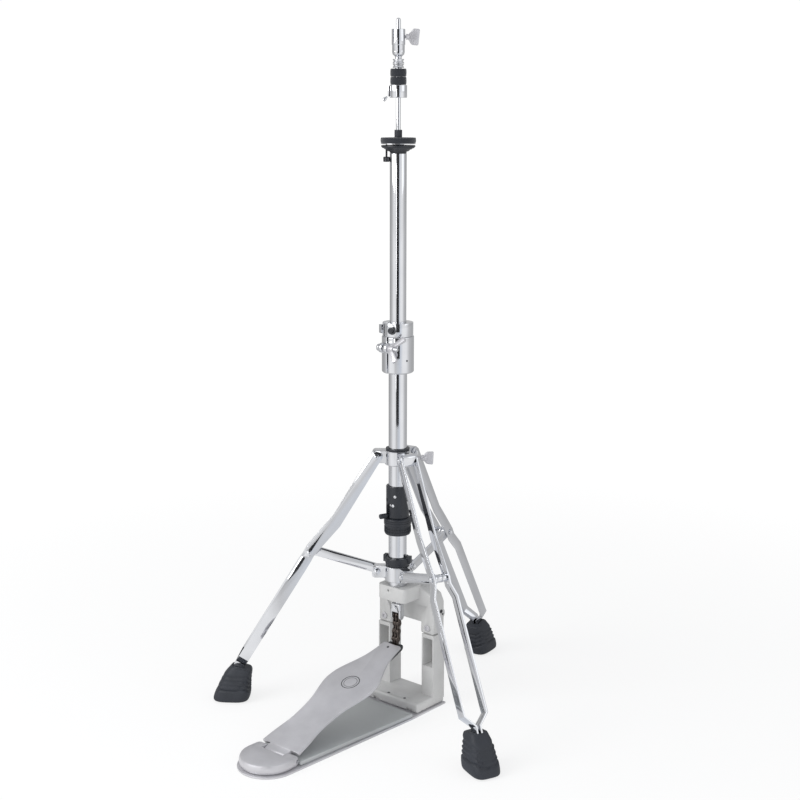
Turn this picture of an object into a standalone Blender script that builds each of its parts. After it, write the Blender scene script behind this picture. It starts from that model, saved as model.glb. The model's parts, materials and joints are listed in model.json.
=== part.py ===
"""A two-tube hi-hat stand with a pedal, a swivelling double-braced tripod, a tilting seat and a clutch.

Lengths are in millimetres until they reach Blender, which holds metres. The origin is on the floor, on the
column's axis; the player sits at -Y, and +Z is up.
"""

import math

import bmesh
import bpy
from mathutils import Matrix, Vector

MM = 0.001
GAP = 0.3  # clearance between neighbouring solids

# Column
LOWER_TUBE_R = 14.3
UPPER_TUBE_R = 12.7
TUBE_WALL = 1.2
TUBE_SEGMENTS = 28
LOWER_TUBE_TOP = 580.0
UPPER_TUBE_BOTTOM = 455.0
UPPER_TUBE_TOP = 875.0
TUBE_FOOT = 181.0
CLAMP_BOTTOM = 544.0
CLAMP_TOP = 600.7
CLAMP_R = 24.8
CLAMP_BOLT_Y = -30.5
CLAMP_BOLT_Z = 585.0
LOCK_RING_TOP = 621.5
LOCK_RING_R = 23.6

# Pull rod
ROD_R = 3.5
ROD_TOP = 1070.0
ROD_SPLIT = 640.0
YOKE_TOP = 170.0
CHAIN_TOP_Z = 148.55
CHAIN_PITCH = 12.7
CHAIN_LINKS = 4
CHAIN_HALF_WIDTH = 6.3
TOE_PIN_Y = -5.0
TOE_PIN_Z = 98.0

# Spring and its tension ring
SPRING_R = 9.2
SPRING_WIRE_R = 1.1
SPRING_TURNS = 8
SPRING_STEPS = 10
PERCH_BOTTOM = 314.0
PERCH_TOP = 320.0
PERCH_TRAVEL = 12.0
SPRING_COLLAR_BOTTOM = 392.0
SLEEVE_BOTTOM = 313.6
SLEEVE_TOP = 364.0
RING_BOTTOM = 286.0
RING_TOP = 313.2
TENSION_AZIMUTH = 250.0

# Pedal and base
HINGE_Y = -272.0
HINGE_Z = 12.0
BOARD_ANGLE = 18.3
BOARD_TOP = 6.1  # the board's top face above the hinge axis, square to the board
BOARD_THICK = 4.6
BOARD_LENGTH = 275.0
HEEL_CENTRE_Y = -290.0
HEEL_R = 43.0
PLATE_R = 46.0
PLATE_THICK = 3.0
PANEL_BACK = -33.0
BASE_HOLES = (-9.0, 24.4)
BASE_SLOTS = (-29.0, 40.0)
FRAME_HALF = 57.5
FRAME_FRONT = -18.5
UPRIGHT_FRONT = 20.5
UPRIGHT_BACK = 48.5
UPRIGHT_INNER = 33.6
UPRIGHT_TOP = 121.0
HEAD_BOTTOM = 122.4
HEAD_TOP = 197.0
WEB_BOTTOM = 138.0

# Tripod
LEG_AZIMUTHS = (217.3, 337.3, 97.3)
LEG_TOP = (32.5, 411.4)  # radius and height of the leg's upper pivot
LEG_MID = (138.7, 253.7)  # pivot between leg and brace
LEG_BEND = (96.6, 303.6)
BRACE_ROOT = (32.6, 224.0)
BAR_WIDTH = 17.0
BAR_THICK = 3.0
BAR_UPPER_SPACING = 12.3  # half the distance between the two bars of a leg
BAR_LOWER_SPACING = 19.0
BRACE_THICK = 4.0
BRACE_WIDTH = 15.0
LUG_HALF = 10.4
LOWER_LUG_SIDES = (-6.2, 8.0)  # the brace lies against the lug's first side
PIVOT_R = 3.0
BORE_R = 3.3

# Seat and clutch
SEAT_PIVOT_Z = 897.0
SEAT_R = 26.0
SEAT_FELT_TOP = 898.0
TILT_AZIMUTH = 220.4
TILT_RADIUS = 17.5
CLUTCH_WING_AZIMUTH = 40.4
COLLAR_WING_AZIMUTH = 37.3

for old in list(bpy.data.objects):
    bpy.data.objects.remove(old)

parts = bpy.data.collections.new("hi_hat_stand")
cutters = bpy.data.collections.new("cutters")
for collection in (parts, cutters):
    bpy.context.scene.collection.children.link(collection)


def material(name, colour, roughness, metallic):
    made = bpy.data.materials.new(name)
    made.use_nodes = True
    shader = made.node_tree.nodes["Principled BSDF"]
    shader.inputs["Base Color"].default_value = (*colour, 1.0)
    shader.inputs["Roughness"].default_value = roughness
    shader.inputs["Metallic"].default_value = metallic
    return made


FINISHES = {
    "chrome": ((0.80, 0.81, 0.83), 0.10, 1.0),
    "satin": ((0.62, 0.61, 0.63), 0.38, 0.6),
    "casting": ((0.56, 0.56, 0.53), 0.50, 0.3),
    "sheet": ((0.36, 0.37, 0.38), 0.45, 0.5),
    "steel": ((0.30, 0.28, 0.26), 0.35, 1.0),
    "nylon": ((0.03, 0.035, 0.045), 0.45, 0.0),
    "felt": ((0.025, 0.03, 0.04), 0.95, 0.0),
    "rubber": ((0.045, 0.05, 0.065), 0.70, 0.0),
}


def place(name, mesh, finish=None, at=(0, 0, 0), turn=(0, 0, 0)):
    """An object of the mesh, at a point in mm and turned by degrees; with no finish it is a cutter."""
    made = bpy.data.objects.new(name, mesh)
    made.location = Vector(at) * MM
    made.rotation_euler = [math.radians(angle) for angle in turn]
    if finish is None:
        made.hide_render = True
        made.display_type = "WIRE"
        cutters.objects.link(made)
        return made
    made.data.materials.append(material(name, *FINISHES[finish]))
    made.data.shade_smooth()
    made.data.set_sharp_from_angle(angle=math.radians(35))
    parts.objects.link(made)
    return made


def mesh_of(name, build):
    mesh = bpy.data.meshes.new(name)
    shape = bmesh.new()
    build(shape)
    bmesh.ops.recalc_face_normals(shape, faces=shape.faces)
    shape.to_mesh(mesh)
    shape.free()
    return mesh


def box_mesh(name, low, high):
    size = Vector(high) - Vector(low)
    centre = (Vector(high) + Vector(low)) / 2
    matrix = Matrix.Translation(centre * MM) @ Matrix.Diagonal((*(size * MM), 1))
    return mesh_of(name, lambda shape: bmesh.ops.create_cube(shape, size=1, matrix=matrix))


AXIS_TURN = {
    "X": Matrix.Rotation(math.pi / 2, 4, "Y"),
    "Y": Matrix.Rotation(-math.pi / 2, 4, "X"),
    "Z": Matrix(),
}


def rod_mesh(name, radius, start, length, axis="Z", segments=20, end_radius=None):
    """A cylinder or cone from the point start along the axis."""
    turn = AXIS_TURN[axis]
    middle = Vector(start) + turn.to_3x3() @ Vector((0, 0, length / 2))
    matrix = Matrix.Translation(middle * MM) @ turn
    last = radius if end_radius is None else end_radius

    def build(shape):
        bmesh.ops.create_cone(
            shape, cap_ends=True, segments=segments, radius1=radius * MM, radius2=last * MM,
            depth=length * MM, matrix=matrix,
        )

    return mesh_of(name, build)


def turned(name, finish, outer, inner, segments=TUBE_SEGMENTS, at=(0, 0, 0)):
    """A ring turned from (radius, height) points: outer runs top to bottom, inner bottom to top."""
    mesh = bpy.data.meshes.new(name)
    shape = bmesh.new()
    loop = [shape.verts.new((radius * MM, 0, height * MM)) for radius, height in (*outer, *inner)]
    for first, second in zip(loop, loop[1:] + loop[:1]):
        shape.edges.new((first, second))
    shape.to_mesh(mesh)
    shape.free()
    made = place(name, mesh, finish, at)
    screw = made.modifiers.new("turn", "SCREW")
    screw.steps = screw.render_steps = segments
    screw.use_merge_vertices = True
    screw.merge_threshold = 0.00001
    return made


def tube(name, finish, outer, inner, low, high, segments=TUBE_SEGMENTS):
    return turned(name, finish, ((outer, high), (outer, low)), ((inner, low), (inner, high)), segments)


def outline_mesh(name, points, thickness, turn=None, shift=(0, 0, 0)):
    """A flat outline in X and Y, thickened both ways from its plane, then turned and shifted."""
    curve = bpy.data.curves.new(name, "CURVE")
    curve.dimensions = "2D"
    curve.fill_mode = "BOTH"
    curve.extrude = thickness / 2 * MM
    spline = curve.splines.new("POLY")
    spline.points.add(len(points) - 1)
    for point, (x, y) in zip(spline.points, points):
        point.co = (x * MM, y * MM, 0, 1)
    spline.use_cyclic_u = True
    holder = bpy.data.objects.new(name, curve)
    cutters.objects.link(holder)
    shown = holder.evaluated_get(bpy.context.evaluated_depsgraph_get())
    mesh = bpy.data.meshes.new_from_object(shown)
    bpy.data.objects.remove(holder)
    shape = bmesh.new()
    shape.from_mesh(mesh)
    bmesh.ops.remove_doubles(shape, verts=shape.verts, dist=0.00001)
    bmesh.ops.recalc_face_normals(shape, faces=shape.faces)
    bmesh.ops.dissolve_limit(shape, angle_limit=0.001, verts=shape.verts, edges=shape.edges)
    move = Matrix.Translation(Vector(shift) * MM)
    shape.transform(move @ (turn or Matrix()))
    shape.to_mesh(mesh)
    shape.free()
    mesh.name = name
    return mesh


STANDING = Matrix.Rotation(math.pi / 2, 4, "X")  # an outline's Y becomes Z, seen from the player's side
SIDEWAYS = Matrix.Rotation(math.pi / 2, 4, "Z") @ STANDING  # an outline's X becomes Y, and its Y becomes Z


def boolean(target, tool, operation):
    step = target.modifiers.new(tool.name, "BOOLEAN")
    step.operation = operation
    step.object = tool
    step.use_self = operation == "UNION"
    return target


def cut(target, *meshes, at=(0, 0, 0), turn=(0, 0, 0)):
    for mesh in meshes:
        boolean(target, place(mesh.name, mesh, at=at, turn=turn), "DIFFERENCE")
    return target


def join(target, *meshes, at=(0, 0, 0), turn=(0, 0, 0)):
    for mesh in meshes:
        boolean(target, place(mesh.name, mesh, at=at, turn=turn), "UNION")
    return target


def bevel(target, width, segments=2, angle=40):
    step = target.modifiers.new("edges", "BEVEL")
    step.width = width * MM
    step.segments = segments
    step.limit_method = "ANGLE"
    step.angle_limit = math.radians(angle)
    return target


def arc(centre, radius, start, end, steps):
    """Points on a circle from one angle to another, in degrees."""
    angles = [math.radians(start + (end - start) * i / steps) for i in range(steps + 1)]
    return [(centre[0] + radius * math.cos(a), centre[1] + radius * math.sin(a)) for a in angles]


def radial(azimuth, radius, height=0.0):
    angle = math.radians(azimuth)
    return (radius * math.cos(angle), radius * math.sin(angle), height)


# ---- Base -------------------------------------------------------------------------------------------


def base_outline(radius, front_half, back):
    """A round heel that flares forward to its full width, then runs straight back under the frame."""
    right = [(front_half, -34), (front_half, back)]
    left = [(-front_half, back), (-front_half, -34)]
    return arc((0, HEEL_CENTRE_Y), radius, 180, 360, 16) + right + left


def make_base():
    plate = place(
        "bottom_plate",
        outline_mesh("plate", base_outline(PLATE_R, 61, UPRIGHT_BACK), PLATE_THICK),
        "sheet", at=(0, 0, PLATE_THICK / 2),
    )
    floor = PLATE_THICK + GAP
    front_half = 60.0
    sides = [(-42.6, -266), (42.6, -266), (front_half, PANEL_BACK), (-front_half, PANEL_BACK)]
    panel = place("base_panel", outline_mesh("panel", sides, 6.6), "sheet", at=(0, 0, floor + 3.3))
    inner = [(-40, -263), (40, -263), (front_half - 2.5, PANEL_BACK - 2), (2.5 - front_half, PANEL_BACK - 2)]
    cut(panel, outline_mesh("panel_underside", inner, 10), at=(0, 0, floor - 0.4))

    heel_outline = arc((0, HEEL_CENTRE_Y), HEEL_R, 180, 360, 14) + [(42, -266.5), (-42, -266.5)]
    heel = place("heel_casting", outline_mesh("heel", heel_outline, 16.4), "satin", at=(0, 0, floor + 8.2))
    bevel(heel, 6, 2, 60)
    cut(heel, box_mesh("heel_notch", (-22, -282.5, 2), (22, -250, 30)))
    cut(heel, box_mesh("heel_front", (-50, HINGE_Y + 7.4, 2), (50, -250, 30)))
    cut(heel, rod_mesh("heel_bore", 3.3, (-60, HINGE_Y, HINGE_Z), 120, "X"))
    pin = rod_mesh("pin", 3.0, (-39, 0, 0), 78, "X")
    place("heel_hinge_pin", pin, "chrome", at=(0, HINGE_Y, HINGE_Z))
    return plate


def make_frame():
    floor = PLATE_THICK + GAP
    half, inner = FRAME_HALF, UPRIGHT_INNER
    bar = box_mesh("bar", (-half, FRAME_FRONT, floor), (half, UPRIGHT_BACK, 18.3))
    frame = place("frame", bar, "casting")
    bevel(frame, 2.0, 1, 60)
    for side in (-1, 1):
        low, high = sorted((side * inner, side * half))
        upright = box_mesh(f"upright_{side}", (low, UPRIGHT_FRONT, 10), (high, UPRIGHT_BACK, UPRIGHT_TOP))
        join(frame, upright)
        tongue_low, tongue_high = sorted((side * 37.5, side * 53))
        join(frame, box_mesh(f"tongue_{side}", (tongue_low, 26, 110), (tongue_high, 42, 146)))
        window_low, window_high = sorted((side * 36.3, side * 55.2))
        cut(frame, box_mesh(f"window_{side}", (window_low, 0, 68), (window_high, 44, 115)))
        cut(frame, rod_mesh(f"tongue_bore_{side}", 3.3, (side * 44.8, 10, 132.4), 26, "Y"))
    for i, x in enumerate(BASE_HOLES):
        cut(frame, rod_mesh(f"base_hole_{i}", 2.4, (x, -10.7, 0), 30, segments=12))
    for i, x in enumerate(BASE_SLOTS):
        cut(frame, box_mesh(f"base_slot_{i}", (x - 6, FRAME_FRONT - 5, 0), (x + 6, FRAME_FRONT + 4, 8.6)))
    return frame


def make_head():
    half, back = FRAME_HALF - 0.5, UPRIGHT_BACK
    crest = [(half, 174), (51, 187), (30, HEAD_TOP), (-30, HEAD_TOP), (-51, 187), (-half, 174)]
    arch = [(half, HEAD_BOTTOM), *crest, (-half, HEAD_BOTTOM), (-30.5, HEAD_BOTTOM), (-30.5, WEB_BOTTOM)]
    arch += [(30.5, WEB_BOTTOM), (30.5, HEAD_BOTTOM)]
    middle = (UPRIGHT_FRONT + back) / 2
    head = place(
        "frame_head", outline_mesh("arch", arch, back - UPRIGHT_FRONT, STANDING, (0, middle, 0)), "casting"
    )
    bevel(head, 2.0, 1, 60)
    nose = outline_mesh(
        "nose", [(28, 24)] + [(-28, 24)] + arc((-20, -9), 8, 180, 270, 4) + arc((20, -9), 8, 270, 360, 4), 23,
        shift=(0, 0, HEAD_TOP - 7.5),
    )
    join(head, nose)
    for side in (-1, 1):
        join(head, rod_mesh(f"ear_{side}", 9.5, (min(side * 50, side * 57), 40, 154), 7, "X"))
    recess = [(31, WEB_BOTTOM - 4), (34, 150), (44, 168), (-44, 168), (-34, 150), (-31, WEB_BOTTOM - 4)]
    cut(head, outline_mesh("recess", recess, 10, STANDING, (0, UPRIGHT_FRONT, 0)))
    for side in (-1, 1):
        low, high = sorted((side * 37.1, side * 53.4))
        cut(head, box_mesh(f"pocket_{side}", (low, 25.6, 110), (high, 42.4, 146.6)))
        cut(head, rod_mesh(f"screw_bore_{side}", 3.3, (side * 44.8, 10, 132.4), 16, "Y"))
    cut(head, rod_mesh("socket", LOWER_TUBE_R + GAP, (0, 0, TUBE_FOOT), 40, segments=TUBE_SEGMENTS))
    cut(head, rod_mesh("rod_way", 5.0, (0, 0, 150), 40))
    cut(head, rod_mesh("set_screw_hole", 1.9, (-5.2, -30, 193.8), 20, "Y", 12))
    for side, word in ((-1, "left"), (1, "right")):
        screw = place(
            f"frame_screw_{word}", rod_mesh("head", 5.2, (0, -1.8 - GAP, 0), 1.8, "Y"), "satin",
            at=(side * 44.8, UPRIGHT_FRONT, 132.4),
        )
        join(screw, rod_mesh(f"shank_{word}", 2.9, (side * 44.8, UPRIGHT_FRONT - 1, 132.4), 14, "Y", 12))
    return head


# ---- Pedal ------------------------------------------------------------------------------------------

# distance along the board from the hinge, and half its width there
BOARD_WIDTHS = (
    (9.5, 37), (34, 35), (62, 31), (86, 31), (110, 33), (128, 37), (143, 41.5), (158, 45),
    (170, 45.6), (186, 43.5), (202, 37.5), (215, 31.5), (228, 26), (240, 22), (260, 18.5), (BOARD_LENGTH, 17),
)


def smooth(points, steps):
    """A Catmull-Rom curve through the points."""
    ends = [Vector(point) for point in (points[0], *points, points[-1])]
    found = []
    for a, b, c, d in zip(ends, ends[1:], ends[2:], ends[3:]):
        for i in range(steps):
            t = i / steps
            bend = 2 * a - 5 * b + 4 * c - d
            twist = 3 * b - a - 3 * c + d
            found.append(0.5 * (2 * b + (c - a) * t + bend * t * t + twist * t ** 3))
    return [*found, Vector(points[-1])]


def make_footboard():
    tilt = (BOARD_ANGLE, 0, 0)
    axis = (0, HINGE_Y, HINGE_Z)
    edge = smooth(BOARD_WIDTHS, 2)
    outline = [(width, along) for along, width in edge] + [(-width, along) for along, width in reversed(edge)]
    middle = BOARD_TOP - BOARD_THICK / 2
    blank = outline_mesh("board", outline, BOARD_THICK, shift=(0, 0, middle))
    board = place("footboard", blank, "satin", axis, tilt)
    knuckle = rod_mesh("knuckle", 6.0, (-21.3, 0, 0), 42.6, "X", 24)
    web = box_mesh("knuckle_web", (-21.3, 0, 0.6), (21.3, 14, BOARD_TOP - 0.2))
    join(board, knuckle, web, at=axis, turn=tilt)
    cut(board, rod_mesh("knuckle_bore", 3.3, (-30, 0, 0), 60, "X"), at=axis, turn=tilt)
    low = BOARD_TOP - BOARD_THICK
    bracket = place(
        "toe_bracket", box_mesh("bracket", (-11.5, 232, low - 4.0), (11.5, BOARD_LENGTH - 3, low - GAP)),
        "steel", axis, tilt,
    )
    level = Matrix.Rotation(-math.radians(BOARD_ANGLE), 3, "X")
    local = level @ Vector((0, TOE_PIN_Y - HINGE_Y, TOE_PIN_Z - HINGE_Z))
    for side in (-1, 1):
        near, far = sorted((side * 8.0, side * 11.5))
        cheek = box_mesh(f"cheek_{side}", (near, 240, local.z - 6), (far, BOARD_LENGTH - 4, low - 2))
        round_end = rod_mesh(f"cheek_end_{side}", 5.5, (near, local.y, local.z), far - near, "X", 20)
        strap = box_mesh(f"strap_{side}", (near, 262, local.z - 5.5), (far, local.y, low - 2))
        join(bracket, cheek, strap, round_end, at=axis, turn=tilt)
    return board


def make_chain():
    """A double roller chain in one body: rollers on the pins, joined by plates like figures of eight."""
    lean = math.degrees(math.asin(TOE_PIN_Y / (CHAIN_PITCH * CHAIN_LINKS)))
    pose = {"at": (0, 0, CHAIN_TOP_Z), "turn": (lean, 0, 0)}
    width = 2 * CHAIN_HALF_WIDTH
    first = rod_mesh("pin_0", 2.0, (-CHAIN_HALF_WIDTH, 0, 0), width, "X", 8)
    chain = place("drive_chain", first, "steel", **pose)
    for i in range(1, CHAIN_LINKS + 1):
        pin = rod_mesh(f"pin_{i}", 2.0, (-CHAIN_HALF_WIDTH, 0, -CHAIN_PITCH * i), width, "X", 8)
        roller = rod_mesh(f"roller_{i}", 3.5, (-4.6, 0, -CHAIN_PITCH * i), 9.2, "X", 8)
        join(chain, pin, roller, **pose)
    for i in range(CHAIN_LINKS):
        middle = -CHAIN_PITCH * (i + 0.5)
        eight = arc((0, -CHAIN_PITCH * i), 4.2, 0, 180, 4) + [(-2.9, middle)]
        eight += arc((0, -CHAIN_PITCH * (i + 1)), 4.2, 180, 360, 4) + [(2.9, middle)]
        offsets = (-5.4, 0.8, 5.4) if i % 2 == 0 else (-3.9, -0.8, 3.9)
        for k, x in enumerate(offsets):
            join(chain, outline_mesh(f"link_{i}_{k}", eight, 1.2, SIDEWAYS, (x, 0, 0)), **pose)
    return chain


def make_pull_rod():
    yoke = place("pull_yoke", box_mesh("yoke", (-9.3, -5.5, 154.5), (9.3, 5.5, YOKE_TOP)), "chrome")
    bevel(yoke, 1.2, 1, 60)
    for side in (-1, 1):
        near, far = sorted((side * 6.9, side * 9.3))
        join(yoke, box_mesh(f"fork_{side}", (near, -5.5, CHAIN_TOP_Z), (far, 5.5, 160)))
        join(yoke, rod_mesh(f"fork_end_{side}", 5.5, (near, 0, CHAIN_TOP_Z), far - near, "X", 20))
    cut(yoke, rod_mesh("yoke_bore", ROD_R + GAP, (0, 0, 157), 20))
    cut(yoke, rod_mesh("yoke_screw_hole", 1.8, (0, -10, 164), 8, "Y", 12))
    rod_start = 157 + GAP
    place("lower_rod", rod_mesh("rod", ROD_R, (0, 0, rod_start), ROD_SPLIT - GAP - rod_start), "chrome")
    coupler = place("rod_coupler", rod_mesh("coupler", 6.2, (0, 0, ROD_SPLIT - 16), 32, segments=6), "chrome")
    cut(coupler, rod_mesh("coupler_bore", ROD_R + GAP, (0, 0, ROD_SPLIT - 30), 60))
    upper = place("upper_rod", rod_mesh("upper", ROD_R, (0, 0, ROD_SPLIT), ROD_TOP - ROD_SPLIT), "chrome")
    bevel(upper, 1.0, 1, 60)
    low, high = SPRING_COLLAR_BOTTOM, SPRING_COLLAR_BOTTOM + 6
    tube("spring_collar", "steel", 10.4, ROD_R + GAP, low, high, 24)


def make_spring():
    """The return spring stands on the perch and pushes up on the collar of the rod."""
    low = PERCH_TOP + GAP + SPRING_WIRE_R
    high = SPRING_COLLAR_BOTTOM - GAP - SPRING_WIRE_R
    curve = bpy.data.curves.new("coil", "CURVE")
    curve.dimensions = "3D"
    curve.bevel_depth = SPRING_WIRE_R * MM
    curve.bevel_resolution = 1
    curve.use_fill_caps = True
    spline = curve.splines.new("POLY")
    count = SPRING_TURNS * SPRING_STEPS
    spline.points.add(count)
    for i, point in enumerate(spline.points):
        x, y, _ = radial(360 * i / SPRING_STEPS, SPRING_R)
        point.co = (x * MM, y * MM, (low + (high - low) * i / count) * MM, 1)
    spring = bpy.data.objects.new("return_spring", curve)
    curve.materials.append(material("spring_steel", *FINISHES["steel"]))
    parts.objects.link(spring)

    perch = tube("spring_perch", "steel", 12.4, ROD_R + 1, PERCH_BOTTOM, PERCH_TOP, 24)
    at = (0, 0, (PERCH_BOTTOM + PERCH_TOP) / 2)
    turn = (0, 0, TENSION_AZIMUTH)
    lever = place("tension_lever", rod_mesh("lever", 2.2, (12.4 + GAP, 0, 0), 12, "X", 12), "nylon", at, turn)
    join(lever, rod_mesh("knob", 4.0, (20, 0, 0), 12, "X", 16), at=at, turn=turn)
    return perch


def slot_mesh(name, width, low, high, azimuth):
    """A cutter through one side of a tube, from its axis outwards."""
    mesh = box_mesh(name, (6, -width / 2, low), (40, width / 2, high))
    mesh.transform(Matrix.Rotation(math.radians(azimuth), 4, "Z"))
    return mesh


def make_tension():
    middle = (PERCH_BOTTOM + PERCH_TOP) / 2
    sleeve = tube("spring_sleeve", "nylon", 18.0, LOWER_TUBE_R + GAP, SLEEVE_BOTTOM, SLEEVE_TOP)
    slot_top = middle + PERCH_TRAVEL + 5.5
    cut(sleeve, slot_mesh("sleeve_slot", 9.6, SLEEVE_BOTTOM - 5, slot_top, TENSION_AZIMUTH))
    for i in range(3):
        height = middle + 8 + 7 * i
        aside = TENSION_AZIMUTH + (14 if i % 2 else -14)
        cut(sleeve, slot_mesh(f"sleeve_step_{i}", 7, height, height + 5.5, aside))
    rib_r, body_r = 21.6, 20.4
    ring = turned(
        "tension_ring", "nylon",
        ((19.2, RING_TOP), (rib_r, RING_TOP - 1.5), (rib_r, 302), (body_r, 301), (rib_r - 1, 299),
         (rib_r - 1, 288), (19.5, RING_BOTTOM)),
        ((LOWER_TUBE_R + GAP, RING_BOTTOM), (LOWER_TUBE_R + GAP, RING_TOP)), 24,
    )
    return ring


# ---- Column -----------------------------------------------------------------------------------------


def make_column():
    middle = (PERCH_BOTTOM + PERCH_TOP) / 2
    inner = UPPER_TUBE_R + GAP
    lower = tube("lower_tube", "chrome", LOWER_TUBE_R, inner, TUBE_FOOT + GAP, LOWER_TUBE_TOP)
    cut(lower, slot_mesh("tube_slot", 5.4, middle - 3, middle + PERCH_TRAVEL + 3, TENSION_AZIMUTH))
    tube("upper_tube", "chrome", UPPER_TUBE_R, UPPER_TUBE_R - TUBE_WALL, UPPER_TUBE_BOTTOM, UPPER_TUBE_TOP)

    body_r = LOWER_TUBE_R + GAP
    clamp = turned(
        "clamp_body", "chrome",
        ((CLAMP_R - 1, CLAMP_TOP), (CLAMP_R, CLAMP_TOP - 1), (CLAMP_R, CLAMP_BOTTOM + 2),
         (CLAMP_R - 2, CLAMP_BOTTOM)),
        ((body_r, CLAMP_BOTTOM), (body_r, LOWER_TUBE_TOP), (18, LOWER_TUBE_TOP), (18, CLAMP_TOP)), 32,
    )
    ear = arc((CLAMP_BOLT_Y, CLAMP_BOLT_Z), 7.5, 90, 270, 8)
    ear += [(-20, CLAMP_BOLT_Z - 7.5), (-20, CLAMP_BOLT_Z + 7.5)]
    join(clamp, outline_mesh("clamp_ear", ear, 16, SIDEWAYS))
    cut(clamp, box_mesh("clamp_slit", (-1.3, -60, 500), (1.3, -12, 620)))
    cut(clamp, rod_mesh("clamp_bolt_way", 3.2, (-30, CLAMP_BOLT_Y, CLAMP_BOLT_Z), 60, "X"))
    bushing = tube("clamp_bushing", "nylon", 17.7, inner, LOWER_TUBE_TOP + GAP, CLAMP_TOP - GAP)
    cut(bushing, box_mesh("bushing_slit", (-1.3, -60, 500), (1.3, -12, 620)))

    at = (0, CLAMP_BOLT_Y, CLAMP_BOLT_Z)
    bolt = place("clamp_bolt", rod_mesh("bolt", 2.8, (-9, 0, 0), 34, "X", 16), "chrome", at)
    join(bolt, rod_mesh("bolt_head", 5.4, (-13, 0, 0), 13 - 8 - GAP, "X", 20), at=at)
    wing = place("clamp_wing_nut", rod_mesh("hub", 5.6, (8 + GAP, 0, 0), 10, "X", 20), "satin", at)
    for i, way in enumerate((55, 235)):
        blade = [(11, 3), (18.3, 3), (32, 16), (31, 20), (27, 22)]
        blade += [(24.8, 21.5), (21.5, 16), (16.5, 10.7), (12.5, 8)]
        join(wing, outline_mesh(f"blade_{i}", blade, 4.0), at=at, turn=(way, 0, 0))
    cut(wing, rod_mesh("wing_bore", 3.1, (0, 0, 0), 60, "X"), at=at)

    ring = tube("memory_lock_ring", "chrome", LOCK_RING_R, inner, CLAMP_TOP + GAP, LOCK_RING_TOP, 32)
    lock_azimuth = 247
    lock_z = (CLAMP_TOP + LOCK_RING_TOP) / 2
    pad = box_mesh("lock_pad", (15, 8, -6.5), (25.4, 16, 6.5))
    tail = box_mesh("lock_tail", (15, -16, -6.5), (24.5, -8, 6.5))
    turn = (0, 0, lock_azimuth)
    join(ring, pad, tail, at=(0, 0, lock_z), turn=turn)
    cut(ring, box_mesh("lock_slit", (8, -1.5, -20), (40, 1.5, 20)), at=(0, 0, lock_z), turn=turn)
    cut(ring, rod_mesh("lock_seat", 5.7, (19.5, 16, 0), 12, "Y"), at=(0, 0, lock_z), turn=turn)
    cut(ring, rod_mesh("lock_bolt_way", 3.0, (19.5, -40, 0), 80, "Y"), at=(0, 0, lock_z), turn=turn)
    shank = rod_mesh("lock_bolt", 2.6, (19.5, -19, 0), 36, "Y", 14)
    lock_bolt = place("memory_lock_bolt", shank, "steel", (0, 0, lock_z), turn)
    join(lock_bolt, rod_mesh("lock_head", 5.2, (19.5, 16 + GAP, 0), 4, "Y", 20), at=(0, 0, lock_z), turn=turn)
    cut(lock_bolt, rod_mesh("hex_key", 2.8, (19.5, 17.6, 0), 8, "Y", 6), at=(0, 0, lock_z), turn=turn)


# ---- Tripod -----------------------------------------------------------------------------------------


def lug_mesh(name, pivot, near, far):
    """A lug with rounded corners that carries a pivot, between two sideways offsets."""
    radius, height = pivot
    low, high, out, corner = height - 10, height + 9.3, radius + 7.6, 5
    end = arc((out - corner, low + corner), corner, -90, 0, 4)
    end += arc((out - corner, high - corner), corner, 0, 90, 4)
    outline = [(17, low), *end, (17, high)]
    return outline_mesh(name, outline, far - near, STANDING, (0, (near + far) / 2, 0))


def turned_by(mesh, azimuth):
    mesh.transform(Matrix.Rotation(math.radians(azimuth), 4, "Z"))
    return mesh


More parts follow.
